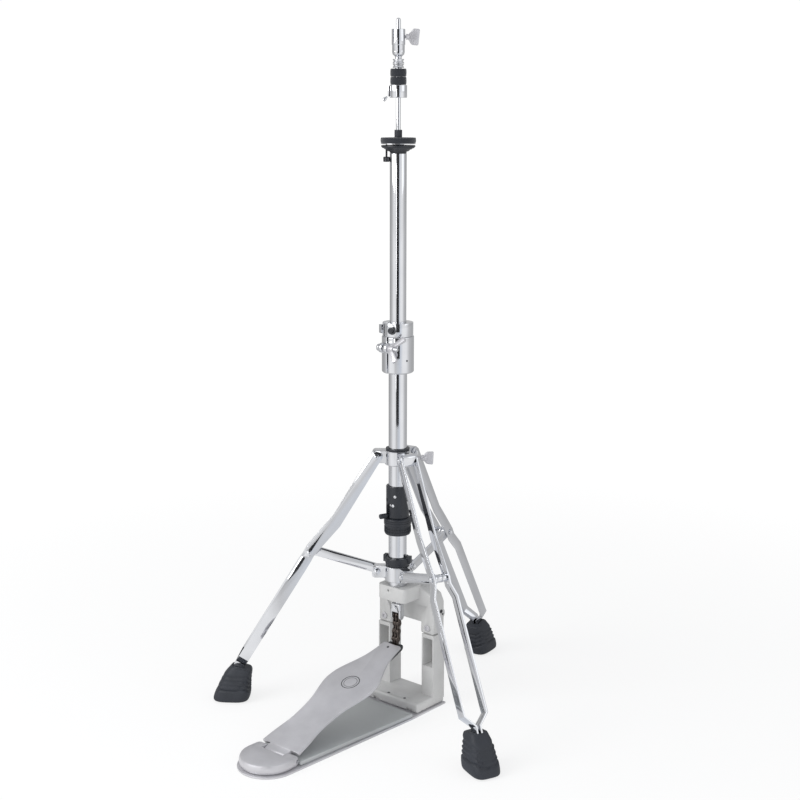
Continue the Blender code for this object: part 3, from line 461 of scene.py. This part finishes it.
def bar_mesh(name, loop, segments):
    """A solid turned about Z from an open line of (radius, height) points, from axis to axis."""
    shape = bmesh.new()
    rings = []
    ends = [shape.verts.new((0, 0, loop[0][1] * MM)), shape.verts.new((0, 0, loop[-1][1] * MM))]
    for r, z in loop[1:-1]:
        ring = []
        for i in range(segments):
            angle = 2 * math.pi * i / segments
            ring.append(shape.verts.new((r * math.cos(angle) * MM, r * math.sin(angle) * MM, z * MM)))
        rings.append(ring)
    for low, high in zip(rings, rings[1:]):
        for i in range(segments):
            j = (i + 1) % segments
            shape.faces.new((low[i], low[j], high[j], high[i]))
    for i in range(segments):
        j = (i + 1) % segments
        shape.faces.new((ends[0], rings[0][j], rings[0][i]))
        shape.faces.new((ends[1], rings[-1][i], rings[-1][j]))
    return mesh_from(name, shape)


def slab_mesh(name, outline, low, high):
    """A flat outline in X and Y, between two heights."""
    shape = bmesh.new()
    bottom = [shape.verts.new((x * MM, y * MM, low * MM)) for x, y in outline]
    top = [shape.verts.new((x * MM, y * MM, high * MM)) for x, y in outline]
    shape.faces.new(list(reversed(bottom)))
    shape.faces.new(top)
    count = len(outline)
    for i in range(count):
        j = (i + 1) % count
        shape.faces.new((bottom[i], bottom[j], top[j], top[i]))
    return mesh_from(name, shape)


def moved(mesh, at=(0, 0, 0), turn=(0, 0, 0)):
    """The mesh turned by degrees about X, then Y, then Z, and moved by mm."""
    matrix = Matrix.Translation(Vector(at) * MM)
    for angle, axis in zip(reversed(turn), "ZYX"):
        matrix = matrix @ Matrix.Rotation(math.radians(angle), 4, axis)
    mesh.transform(matrix)
    return mesh


def merged(name, meshes):
    """Several meshes as one."""
    shape = bmesh.new()
    for mesh in meshes:
        shape.from_mesh(mesh)
    return mesh_from(name, shape)


def cut_by(mesh, *cutters):
    """The mesh less the cutters."""
    tools = []

    def build(holder):
        for cutter in cutters:
            tool = bpy.data.objects.new("tool", cutter)
            bpy.context.scene.collection.objects.link(tool)
            step = holder.modifiers.new("cut", "BOOLEAN")
            step.operation = "DIFFERENCE"
            step.object = tool
            tools.append(tool)

    made = with_modifiers(mesh, build)
    for tool in tools:
        bpy.data.objects.remove(tool)
    return made


def arc(centre, radius, start, end, steps):
    """Points of an arc, from and to angles in degrees."""
    angles = [math.radians(start + (end - start) * i / steps) for i in range(steps + 1)]
    return [(centre[0] + radius * math.cos(a), centre[1] + radius * math.sin(a)) for a in angles]


def radial(azimuth, radius, height=0.0):
    """The point at an azimuth, a radius and a height."""
    angle = math.radians(azimuth)
    return (radius * math.cos(angle), radius * math.sin(angle), height)


# ---- Column, rod and spring -------------------------------------------------------------------------

# outer radius, inner radius, bottom and top
LOWER_TUBE = (14.3, 13.0, 181.3, 580.0)
UPPER_TUBE = (12.7, 11.5, 455.0, 875.0)
ROD_R = 3.5
ROD_FOOT, ROD_SPLIT, ROD_TOP = 157.3, 640, 1070
SLEEVE = (18.0, 14.6, 313.6, 364)
TENSION_AZIMUTH = 250.0
LEVER_Z = 317
LEVER_STEPS = 3
RING_RIBS = 40
SLEEVE_SCREWS = ((-62.8, 349.5), (-73.2, 334.7))  # azimuth and height
SPRING_R, SPRING_WIRE_R = 9.2, 1.1
SPRING_LOW, SPRING_HIGH = 321.4, 390.6
SPRING_TURNS = 8


def ring_mesh(name, outer, inner, low, high, edge=0.4, segments=96):
    loop = fillet([(outer, high), (outer, low), (inner, low), (inner, high)], edge)
    return lathe_mesh(name, loop, segments)


def side_cutter(name, width, low, high, azimuth):
    """A block that cuts a slot through one side of a tube."""
    outline = [(6, -width / 2), (40, -width / 2), (40, width / 2), (6, width / 2)]
    return moved(slab_mesh(name, fillet(outline, 1.0), low, high), turn=(0, 0, azimuth))


def make_column():
    lower = cut_by(
        ring_mesh("lower_tube_shape", *LOWER_TUBE), side_cutter("slot", 5.4, 314, 332, TENSION_AZIMUTH)
    )
    piece("lower_tube_skin", lower, "base", CHROME, ("lower_tube",))
    upper = ring_mesh("upper_tube_shape", *UPPER_TUBE, 0.5)
    piece("upper_tube_skin", upper, "upper_tube", CHROME, ("upper_tube",))
    end = ROD_SPLIT - 0.3
    line = [(0, ROD_FOOT), (ROD_R - 0.5, ROD_FOOT), (ROD_R, ROD_FOOT + 0.5), (ROD_R, end), (0, end)]
    lower_rod = bar_mesh("lower_rod_shape", line, 48)
    piece("lower_rod_skin", lower_rod, "pull_rod", CHROME, ("lower_rod",))
    tip = [(r, ROD_TOP - ROD_R + z) for r, z in arc((0, 0), ROD_R, 0, 82, 8)]
    upper_rod = bar_mesh("upper_rod_shape", [(0, ROD_SPLIT), (ROD_R, ROD_SPLIT), *tip, (0, ROD_TOP)], 48)
    piece("upper_rod_skin", upper_rod, "pull_rod", CHROME, ("upper_rod",))


def coil_mesh(name, radius, wire, low, high, turns, steps=32, sides=10):
    """A helical spring whose last turn at each end lies flat."""
    shape = bmesh.new()
    rings = []
    count = turns * steps
    for i in range(count + 1):
        turn = i / steps
        share = min(max((turn - 0.7) / (turns - 1.4), 0), 1)
        angle = 2 * math.pi * turn
        height = low + (high - low) * share
        out = Vector((math.cos(angle), math.sin(angle), 0))
        ring = []
        for k in range(sides):
            side = 2 * math.pi * k / sides
            spot = out * (radius + wire * math.cos(side)) + Vector((0, 0, height + wire * math.sin(side)))
            ring.append(shape.verts.new(spot * MM))
        rings.append(ring)
    for first, second in zip(rings, rings[1:]):
        for k in range(sides):
            m = (k + 1) % sides
            shape.faces.new((first[k], first[m], second[m], second[k]))
    shape.faces.new(rings[0])
    shape.faces.new(rings[-1])
    return mesh_from(name, shape)


def grooved_ring(name, outline, inner, grooves, depth, width):
    """A ring whose outer profile, top to bottom, has turned grooves at the heights given.

    width is half a groove's width at its mouth, and depth is how deep it goes.
    """
    loop = fillet(outline, 0.8, 3, closed=False)
    line = []
    for first, second in zip(loop, loop[1:]):
        line.append(tuple(first))
        for height in grooves:
            if first[1] > height > second[1]:
                share = (first[1] - height) / (first[1] - second[1])
                radius = first[0] + (second[0] - first[0]) * share
                line += [
                    (radius, height + width), (radius - depth, height + width / 2),
                    (radius - depth, height - width / 2), (radius, height - width),
                ]
    line.append(tuple(loop[-1]))
    low, high = loop[-1][1], loop[0][1]
    return lathe_mesh(name, line + [(inner, low), (inner, high)], 96)


def screw_head(name, radius, height, socket):
    """A low round head on the plane Z = 0, with a hexagonal socket of the radius given."""
    top = fillet([(radius, 0), (radius, height), (0.001, height)], min(0.5, height * 0.4), 3, closed=False)
    line = [(0, 0)] + [tuple(p) for p in top[:-1]] + [(0, height)]
    floor = height * 0.3
    key = bar_mesh("socket", [(0, floor), (socket, floor), (socket, 9), (0, 9)], 6)
    return cut_by(bar_mesh(name, line, 40), key)


def make_tension_parts():
    sleeve = ring_mesh("sleeve_shape", *SLEEVE, 0.9)
    cutters = [side_cutter("sleeve_slot", 9.6, 306, 334.5, TENSION_AZIMUTH)]
    for i in range(LEVER_STEPS):
        height = 325 + 7 * i
        aside = TENSION_AZIMUTH + (14 if i % 2 else -14)
        cutters.append(side_cutter(f"step_{i}", 7, height, height + 5.5, aside))
    piece("spring_sleeve_skin", cut_by(sleeve, *cutters), "base", NYLON, ("spring_sleeve",))
    outline = [(19.2, 313.2), (21.6, 311.7), (21.6, 302), (20.4, 301), (20.6, 299), (20.6, 288), (19.5, 286)]
    ring = grooved_ring("tension_ring_shape", outline, SLEEVE[1], (309, 306, 296, 292), 0.5, 0.5)
    ribs = []
    for i in range(RING_RIBS):
        rib = slab_mesh("rib", [(19.8, -0.45), (21.15, -0.3), (21.15, 0.3), (19.8, 0.45)], 289, 299)
        ribs.append(moved(rib, turn=(0, 0, 360 * i / RING_RIBS)))
    piece(
        "tension_ring_skin", merged("tension_ring_mesh", [ring, *ribs]), "tension_ring", NYLON,
        ("tension_ring",),
    )
    heads = []
    for i, (azimuth, height) in enumerate(SLEEVE_SCREWS):
        at = radial(azimuth, 17.8, height)
        heads.append(moved(screw_head(f"head_{i}", 2.3, 0.9, 1.1), at, (0, 90, azimuth)))
    piece("sleeve_screws", merged("sleeve_screws", heads), "base", CHROME)
    knob = [(0, 20), (3.6, 20), (4.0, 20.5), (4.0, 31.0), (3.4, 31.8), (0, 32)]
    bar = bar_mesh("lever_bar", [(0, 12.7), (2.2, 12.7), (2.2, 21), (0, 21)], 32)
    lever = merged("lever", [bar, bar_mesh("knob", knob, 40)])
    lever = moved(lever, (0, 0, LEVER_Z), (0, 90, TENSION_AZIMUTH))
    piece("tension_lever_skin", lever, "spring_perch", NYLON, ("tension_lever",))


def make_spring():
    coil = coil_mesh("spring_shape", SPRING_R, SPRING_WIRE_R, SPRING_LOW, SPRING_HIGH, SPRING_TURNS)
    spring = piece("return_spring_skin", coil, "base", SPRING_STEEL, ("return_spring",))
    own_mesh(spring)


# ---- Seat and clutch --------------------------------------------------------------------------------

TILT_AZIMUTH = 220.4
TILT_SCREW_R = 17.5  # from the column's axis to the tilt screw's
TILT_GRIPS = 24
THREAD_LOW, THREAD_HIGH = 870.0, 886.6
CLUTCH_WING_AZIMUTH = 40.4
CLUTCH_WING_Z = 1043
CLUTCH_BORE_R = 3.8
CLUTCH_TUBE_R = 4.9
CLUTCH_TOP, CLUTCH_FOOT = 1054, 957


def felt_mesh(name, outer, inner, low, high):
    """A pressed felt ring with softly swollen, slightly uneven sides."""
    middle, half = (low + high) / 2, (high - low) / 2
    bulge = [
        (outer - 0.45 + 0.45 * math.cos(math.pi * 0.5 * (z / half)), middle + z)
        for z in [half * (0.82 - 1.64 * i / 8) for i in range(9)]
    ]
    loop = [(outer - 0.9, high), *bulge, (outer - 0.9, low), (inner, low), (inner, high)]
    mesh = lathe_mesh(name, loop, 120)
    for vertex in mesh.vertices:
        x, y, z = vertex.co / MM
        swell = 0.10 * math.sin(x * 2.1 + z * 1.7) * math.cos(y * 1.9 - z * 2.3)
        vertex.co *= 1 + swell * MM / max(vertex.co.length, 0.001) * 0.1
        out = Vector((x, y, 0)).normalized()
        vertex.co += out * swell * 0.6 * MM * (1 if Vector((x, y)).length > inner + 1 else 0)
    return mesh


def make_seat():
    felt = felt_mesh("seat_felt_shape", 26.4, 6.2, 890.1, 898.0)
    piece("seat_felt_skin", felt, "seat", FELT, ("seat_felt",))
    outline = [(26.0, 889.8), (26.0, 888.8), (9.4, 888.8), (8.4, 887.4), (8.4, 881), (5.2, 881), (5.2, 889.8)]
    plate = lathe_mesh("seat_plate_shape", fillet(outline, 0.4))
    piece("seat_plate_skin", plate, "seat", CHROME, ("seat_plate",))
    sleeve = ring_mesh("seat_sleeve_shape", 5.7, 4.6, 890.1, 909.4, 0.4, 48)
    piece("seat_sleeve_skin", sleeve, "seat", RUBBER, ("seat_sleeve",))
    outline = [
        (25.4, 886.9), (25.4, 884.3), (24.0, 883.6), (24.0, 882.9), (21, 882), (20.6, 881.2), (17.4, 880.2),
        (17.0, 879.4), (15, 878), (12.6, 877.4), (12.4, 875.3), (11.2, 875.3), (11.2, 852),
        (5.2, 852), (5.2, 876), (12, 879), (12, 884.5), (23.5, 886.9),
    ]
    base = lathe_mesh("seat_base_shape", fillet(outline, 0.35, 2))
    way = bar_mesh("way", [(0, 850), (1.9, 850), (1.9, 900), (0, 900)], 24)
    way = moved(way, radial(TILT_AZIMUTH, TILT_SCREW_R))
    piece("seat_base_skin", cut_by(base, way), "upper_tube", NYLON, ("seat_base",))
    make_tilt_screw()


def make_tilt_screw():
    stem = [(0, 869.6), (1.6, 869.6)]
    height = THREAD_LOW
    while height < THREAD_HIGH:
        stem += [(1.6, height), (1.3, height + 0.3), (1.6, height + 0.6)]
        height += 0.7
    stem += [(1.0, 888.0), (0, 888.2)]
    line = [(0, 862.5), (4.1, 862.5), (4.6, 863), (4.6, 869.4), (4.1, 870), (0, 870)]
    knob = bar_mesh("tilt_knob", line, 48)
    grips = []
    for i in range(TILT_GRIPS):
        grip = slab_mesh("grip", [(4.3, -0.25), (4.85, -0.15), (4.85, 0.15), (4.3, 0.25)], 863.2, 869.2)
        grips.append(moved(grip, turn=(0, 0, 360 * i / TILT_GRIPS)))
    screw = merged("tilt_screw_mesh", [bar_mesh("stem", stem, 32), knob, *grips])
    screw = moved(screw, radial(TILT_AZIMUTH, TILT_SCREW_R))
    piece("tilt_screw_skin", screw, "tilt_screw", BLACKED, ("tilt_screw",))


def thread_line(outer, low, high, pitch, depth):
    """A turned line, from high to low, that stands for a screw thread."""
    line, height = [], high
    while height - pitch > low:
        line += [
            (outer, height), (outer, height - pitch * 0.2),
            (outer - depth, height - pitch * 0.5), (outer - depth, height - pitch * 0.6),
        ]
        height -= pitch
    return [*line, (outer, height), (outer, low)]


def make_clutch():
    outline = [
        (CLUTCH_BORE_R, CLUTCH_TOP), (9.9, CLUTCH_TOP), (9.9, 1031.8), (9.2, 1031.2), (9.2, 1021),
        (8.4, 1017.6), (5.4, 1015.4), (CLUTCH_TUBE_R, 1014),
    ]
    top = [tuple(p) for p in fillet(outline, 0.6, 3, closed=False)][1:]
    thread = thread_line(CLUTCH_TUBE_R, CLUTCH_FOOT, 1013.6, 1.25, 0.45)
    loop = [*top, *thread, (CLUTCH_BORE_R, CLUTCH_FOOT), (CLUTCH_BORE_R, CLUTCH_TOP)]
    body = lathe_mesh("clutch_shape", loop, 72)
    slit = slab_mesh("slit", [(-1.0, -20), (1.0, -20), (1.0, -2), (-1.0, -2)], 1036, 1060)
    way = bar_mesh("way", [(0, 2), (2.5, 2), (2.5, 22), (0, 22)], 24)
    way = moved(way, (0, 0, CLUTCH_WING_Z), (0, 90, CLUTCH_WING_AZIMUTH))
    piece("clutch_body_skin", cut_by(body, slit, way), "clutch", CHROME, ("clutch_body",))
    for name, low in (("upper_lock_nut", 1005.4), ("lower_lock_nut", 998.9)):
        outline = [
            (8.2, low + 6), (8.6, low + 5.4), (6.8, low + 3), (8.6, low + 0.6), (8.2, low), (5.2, low),
            (5.2, low + 6),
        ]
        nut = lathe_mesh(f"{name}_shape", fillet(outline, 0.5, 3), 72)
        piece(f"{name}_skin", nut, name, CHROME, (name,))
    for name, low in (("upper_clutch_felt", 986.3), ("lower_clutch_felt", 974.6)):
        felt = felt_mesh(f"{name}_shape", 12.0, 5.2, low, low + 11.3)
        piece(f"{name}_skin", felt, "clutch", FELT, (name,))
    nut = ring_mesh("bottom_nut_shape", 12.8, 5.2, 955.8, 974.2, 0.9)
    lug = slab_mesh("lug", fillet([(10, -4), (15.4, -4), (15.4, 4), (10, 4)], 1.6), 957.5, 973)
    lug = rounded(moved(lug, turn=(0, 0, TILT_AZIMUTH)), 0.6, 2)
    nut = merged("bottom_nut_mesh", [nut, lug])
    piece("bottom_nut_skin", nut, "bottom_nut", CHROME, ("bottom_nut",))


# ---- Wing screws ------------------------------------------------------------------------------------

COLLAR_WING_AZIMUTH = 37.3


def blade_mesh(name, outline, thickness):
    """A cast wing: the outline thickened, with a full round edge."""
    shape = slab_mesh(name, fillet(outline, 2.4, 5), -thickness / 2, thickness / 2)
    return moved(rounded(shape, thickness * 0.42, 4, 50), turn=(90, 0, 0))


def wing_screw(name, node_name, body, height, azimuth, stem, hub, outline, thickness):
    """A wing screw along +X from its stem, turned to its azimuth.

    stem has its start, end and radius, and hub its start, end and the radii of its outer and inner ends.
    """
    start, end, radius = stem
    line = thread_line(radius, start, end, 0.9, 0.3)[::-1]
    shank = bar_mesh("shank", [(0, start), *line, (0, end)], 36)
    low, high, wide, narrow = hub
    boss = [
        (0, low), (narrow * 0.92, low), (narrow, low + 0.5),
        (wide, high - 0.8), (wide * 0.85, high), (0, high),
    ]
    turned_parts = [moved(part, turn=(0, 90, 0)) for part in (shank, bar_mesh("boss", boss, 48))]
    blade = blade_mesh("blade", outline, thickness)
    mesh = moved(merged(f"{name}_mesh", [*turned_parts, blade]), (0, 0, height), (0, 0, azimuth))
    piece(name, mesh, body, SATIN, (node_name,), 45)


def make_wings():
    wing_screw(
        "collar_wing_skin", "collar_wing_screw", "collar_wing", 408.4, COLLAR_WING_AZIMUTH,
        (17.4, 38, 2.6), (37, 45, 4.0, 4.8),
        [(40, -4), (45, -9.5), (55, -10.5), (56, 10.5), (45, 10), (40, 4)], 4.0,
    )
    wing_screw(
        "clutch_wing_skin", "clutch_wing_screw", "clutch_wing", CLUTCH_WING_Z, CLUTCH_WING_AZIMUTH,
        (4.2, 12, 2.2), (11.2, 16.2, 3.6, 4.3),
        [(14, -3.5), (19, -11.5), (29, -12.5), (31.5, 11), (22, 12), (19, 8), (14, 3.5)], 3.6,
    )


# ---- Feet -------------------------------------------------------------------------------------------

LEG_AZIMUTHS = (217.3, 337.3, 97.3)
# radius and height of the foot's inner edge, then of its outer edge, and its half width, ring by ring
FOOT_RINGS = (
    (246, 0.0, 292, 0.0, 17), (241, 3.0, 297.5, 3.0, 21.5), (239, 9, 297, 10, 22.5),
    (238, 20, 292, 22, 22), (237, 36, 282, 42, 19.5), (235.5, 49, 272.5, 54, 16), (236.5, 53, 268, 59, 14.3),
)
FOOT_SIDES = 88
FOOT_STEPS = 9
FOOT_SQUARENESS = 0.55  # 1 would make the rings ellipses, and less makes them squarer
FOOT_GROOVES = (19.5, 26.5, 33.5, 40.5)
GROOVE_DEPTH = 0.10  # as a share of the foot's size
GROOVE_ABOVE, GROOVE_BELOW = 5.5, 1.0
LEG_LEAN = math.degrees(math.atan2(16, 31.4))  # of the pocket for the leg's end


def between(rows, steps):
    """Catmull-Rom rows through the rows."""
    ends = [Vector(row) for row in (rows[0], *rows, rows[-1])]
    found = []
    for a, b, c, d in zip(ends, ends[1:], ends[2:], ends[3:]):
        for i in range(steps):
            t = i / steps
            bend, twist = 2 * a - 5 * b + 4 * c - d, 3 * b - a - 3 * c + d
            found.append(0.5 * (2 * b + (c - a) * t + bend * t * t + twist * t ** 3))
    return [*found, ends[-1]]


def foot_scale(height, angle):
    """How far the boot's skin is drawn in: overlapping wavy scales round its middle."""
    wave = height + 2.4 * math.cos(2 * angle) + 1.3 * math.cos(4 * angle)
    scale = 1.0
    for groove in FOOT_GROOVES:
        away = wave - groove
        if 0 < away < GROOVE_ABOVE:
            scale -= GROOVE_DEPTH * (1 - away / GROOVE_ABOVE)
        elif -GROOVE_BELOW < away <= 0:
            scale -= GROOVE_DEPTH * (1 + away / GROOVE_BELOW)
    return scale


def squared(value):
    return math.copysign(abs(value) ** FOOT_SQUARENESS, value)


def foot_mesh(name):
    shape = bmesh.new()
    rings = []
    for row in between(FOOT_RINGS, FOOT_STEPS):
        inner_r, inner_z, outer_r, outer_z, half = row
        ring = []
        for i in range(FOOT_SIDES):
            angle = 2 * math.pi * i / FOOT_SIDES
            fore, side = squared(math.cos(angle)), squared(math.sin(angle))
            mix = (1 + fore) / 2
            height = max(inner_z + (outer_z - inner_z) * mix, 0)
            scale = foot_scale(height, angle)
            middle = (inner_r + outer_r) / 2
            radius = middle + (inner_r + (outer_r - inner_r) * mix - middle) * scale
            ring.append(shape.verts.new(Vector((radius, half * side * scale, height)) * MM))
        rings.append(ring)
    for low, high in zip(rings, rings[1:]):
        for i in range(FOOT_SIDES):
            j = (i + 1) % FOOT_SIDES
            shape.faces.new((low[i], low[j], high[j], high[i]))
    shape.faces.new(list(reversed(rings[0])))
    shape.faces.new(rings[-1])
    return mesh_from(name, shape)


def make_feet():
    pocket = slab_mesh("pocket", fillet([(-9.2, -5.4), (9.2, -5.4), (9.2, 5.4), (-9.2, 5.4)], 1.5), -22, 60)
    pocket = moved(moved(pocket, turn=(0, -LEG_LEAN, 0)), (263.1, 0, 45))
    boot = cut_by(foot_mesh("boot"), pocket)
    for number, azimuth in enumerate(LEG_AZIMUTHS, start=1):
        mesh = moved(boot.copy(), turn=(0, 0, azimuth))
        foot = f"rubber_foot_{number}"
        piece(f"{foot}_skin", mesh, f"leg_{number}", RUBBER, (foot,), 60)


# ---- Rivets, screws and marks -----------------------------------------------------------------------

# radius and height of the pivots
LEG_TOP = (32.5, 411.4)
LEG_MID = (138.7, 253.7)
BRACE_ROOT = (32.6, 224.0)
BRACE_FACES = ((1, 9.95), (-1, -11.95))  # the side and the place of the faces that its rivet shows on
BAR_SPACING = 12.3  # from the middle of a leg to the middle of a bar
BAR_THICK = 3.0
PLAIN_HEAD = 1.65  # how far the bar's own pivot pin stands out under the rivet

FRAME_SCREW_AT = (44.8, 20.2, 132.4)
EAR_SCREW_AT = (57.0, 40, 158)
EAR_DOT_AT = (57.0, 44, 152.5)
BASE_SCREWS = ((-9.0, -10.7, 18.0), (24.4, -10.7, 18.0))
# azimuth, radius and height
COLLAR_DOT = (-19.6, 20.2, 219.1)
CLAMP_DOT = (-15.7, 24.6, 564.8)


def dome_mesh(name, radius, height):
    line = [(x * radius, y * height) for x, y in arc((0, 0), 1.0, 0, 84, 7)]
    return bar_mesh(name, [(0, 0), *line, (0, height)], 32)


def rivet_mesh(name, at, side):
    """A domed rivet on a flat washer; side is the way it faces along Y."""
    washer = bar_mesh("washer", [(0, 0), (5.0, 0), (5.2, 0.2), (5.2, 0.5), (4.8, 0.7), (0, 0.7)], 40)
    dome = moved(dome_mesh("dome", 3.3, 1.5), (0, 0, 0.6))
    return moved(merged(name, [washer, dome]), at, (-90 * side, 0, 0))


def make_rivets():
    face = BAR_SPACING + BAR_THICK / 2 + PLAIN_HEAD
    for number, azimuth in enumerate(LEG_AZIMUTHS, start=1):
        found = []
        for side in (-1, 1):
            for radius, height in (LEG_TOP, LEG_MID):
                found.append(rivet_mesh("rivet", (radius, side * face, height), side))
        mesh = moved(merged(f"leg_{number}_rivets", found), turn=(0, 0, azimuth))
        piece(f"leg_{number}_rivets", mesh, f"leg_{number}", CHROME)
        root = [rivet_mesh("root", (BRACE_ROOT[0], y, BRACE_ROOT[1]), side) for side, y in BRACE_FACES]
        mesh = moved(merged(f"brace_{number}_rivet", root), turn=(0, 0, azimuth))
        piece(f"brace_{number}_rivet", mesh, f"brace_{number}", CHROME)


def beside(side, at):
    """The place mirrored to a side, -1 or 1."""
    return (side * at[0], at[1], at[2])


def make_frame_screws():
    for side, word in ((-1, "left"), (1, "right")):
        head = screw_head("head", 5.2, 1.8, 2.9)
        shank = bar_mesh("shank", [(0, -13), (2.9, -13), (2.9, 0.2), (0, 0.2)], 32)
        mesh = moved(merged("screw", [head, shank]), beside(side, FRAME_SCREW_AT), (90, 0, 0))
        piece(f"frame_screw_{word}_skin", mesh, "base", SATIN, (f"frame_screw_{word}",))


def make_dot(name, height, place, body):
    """A small socket screw on the side of the column."""
    azimuth, radius, z = place
    mesh = moved(screw_head(name, 1.5, height, 0.8), radial(azimuth, radius, z), (0, 90, azimuth))
    piece(name, mesh, body, BLACKED)


def make_screws():
    make_frame_screws()
    small = []
    for side in (-1, 1):
        turn = (0, 90 * side, 0)
        small.append(moved(screw_head("ear_screw", 3.0, 0.9, 1.5), beside(side, EAR_SCREW_AT), turn))
        small.append(moved(screw_head("ear_dot", 1.7, 0.6, 0.8), beside(side, EAR_DOT_AT), turn))
    for at in BASE_SCREWS:
        small.append(moved(screw_head("base_screw", 2.3, 0.5, 1.3), at))
    piece("frame_small_screws", merged("frame_small_screws", small), "base", BLACKED)
    make_dot("lower_collar_screw", 0.5, COLLAR_DOT, "tripod")
    make_dot("clamp_pin", 0.4, CLAMP_DOT, "base")


BOARD_ANGLE = 18.3
HINGE = (0, -272.0, 12.0)
BOARD_TOP = 6.1
# along the board from the hinge
MARK_Y = 171
TOE_SCREW_AT = (-1.5, 266, 0)


def on_board(mesh):
    """Moves a mesh made on the board's top face, X across it and Y along it from the hinge."""
    return moved(moved(mesh, (0, 0, BOARD_TOP)), HINGE, (BOARD_ANGLE, 0, 0))


def make_board_marks():
    rings = [
        lathe_mesh("ring", [(outer, 0.10), (outer, -0.1), (inner, -0.1), (inner, 0.10)])
        for outer, inner in ((15.0, 13.6), (11.0, 10.3))
    ]
    mark = moved(merged("board_mark", rings), (0, MARK_Y, 0))
    piece("board_mark", on_board(mark), "footboard", INK)
    screw = moved(screw_head("toe_screw", 2.0, 0.4, 1.1), TOE_SCREW_AT)
    piece("toe_screw", on_board(screw), "footboard", BLACKED)


# ---- Chain ------------------------------------------------------------------------------------------

CHAIN_TOP_Z = 148.55
CHAIN_PITCH = 12.7
CHAIN_LINKS = 4
TOE_PIN_Y = -5.0
ROLLERS = ((-4.5, -1.6), (1.6, 4.5))  # from and to, across the chain
# places of the link plates across the chain, in turn from link to link
OUTER_PLATES = (-5.4, -0.8, 0.8, 5.4)
INNER_PLATES = (-4.0, -0.8, 0.8, 4.0)


def make_chain():
    lean = math.degrees(math.asin(TOE_PIN_Y / (CHAIN_PITCH * CHAIN_LINKS)))
    parts = []
    for i in range(CHAIN_LINKS + 1):
        drop = -CHAIN_PITCH * i
        pin = bar_mesh("pin", [(0, -6.3), (1.9, -6.3), (2.1, -6.0), (2.1, 6.0), (1.9, 6.3), (0, 6.3)], 24)
        parts.append(moved(pin, (0, 0, drop), (0, 90, 0)))
        if i:
            for low, high in ROLLERS:
                line = [(0, low), (3.6, low), (3.9, low + 0.3), (3.9, high - 0.3), (3.6, high), (0, high)]
                roller = bar_mesh("roller", line, 28)
                parts.append(moved(roller, (0, 0, drop), (0, 90, 0)))
    for i in range(CHAIN_LINKS):
        middle = -CHAIN_PITCH * (i + 0.5)
        eight = arc((0, -CHAIN_PITCH * i), 4.5, -20, 200, 16) + [(-2.7, middle)]
        eight += arc((0, -CHAIN_PITCH * (i + 1)), 4.5, 160, 380, 16) + [(2.7, middle)]
        for x in INNER_PLATES if i % 2 else OUTER_PLATES:
            plate = rounded(slab_mesh("plate", eight, -0.55, 0.55), 0.2, 2, 50)
            parts.append(moved(plate, (x, 0, 0), (90, 0, 90)))
    mesh = moved(merged("drive_chain_mesh", parts), (0, 0, CHAIN_TOP_Z), (lean, 0, 0))
    piece("drive_chain_skin", mesh, "chain", DARK_STEEL, ("drive_chain",), 40)


# ---- Carried-over shapes ----------------------------------------------------------------------------

# finish, slot and rounding of the nodes whose own shape is shown
SKINS = {
    "bottom_plate": (SATIN, "sheet", 0.5), "base_panel": (SHEET, "sheet", 1.2),
    "heel_casting": (SATIN, "satin", 0.8), "heel_hinge_pin": (CHROME, "chrome", 0.4),
    "footboard": (SATIN, "satin", 1.0), "toe_bracket": (BLACKED, "steel", 0.4),
    "frame": (BLASTED, "casting", 0.9), "frame_head": (BLASTED, "casting", 0.9),
    "clamp_body": (CHROME, "chrome", 0.5), "clamp_bushing": (NYLON, "nylon", 0.3),
    "clamp_bolt": (CHROME, "chrome", 0.4), "lower_lock_ring": (NYLON, "nylon", 0.5),
    "pull_yoke": (CHROME, "chrome", 0.5), "rod_coupler": (CHROME, "chrome", 0.4),
    "spring_collar": (SPRING_STEEL, "steel", 0.3), "spring_perch": (SPRING_STEEL, "steel", 0.3),
    "clamp_wing_nut": (SATIN, "satin", 0.8), "memory_lock_ring": (CHROME, "chrome", 0.6),
    "memory_lock_bolt": (BLACKED, "steel", 0.3), "release_lever": (CHROME, "chrome", 0.3),
    "upper_collar": (CHROME, "chrome", 0.6), "collar_bushing": (NYLON, "nylon", 0.4),
    "lower_collar": (CHROME, "chrome", 0.6),
}
for number in range(1, len(LEG_AZIMUTHS) + 1):
    for word in "ab":
        SKINS[f"leg_{number}_bar_{word}"] = (CHROME, "chrome", 0.5)
    SKINS[f"brace_{number}"] = (CHROME, "chrome", 0.5)


make_studio()
make_column()
make_tension_parts()
make_seat()
make_clutch()
make_wings()
make_feet()
make_rivets()
make_screws()
make_board_marks()
make_chain()
make_spring()
for node_name, (material, slot, width) in SKINS.items():
    refined(node_name, material, width)
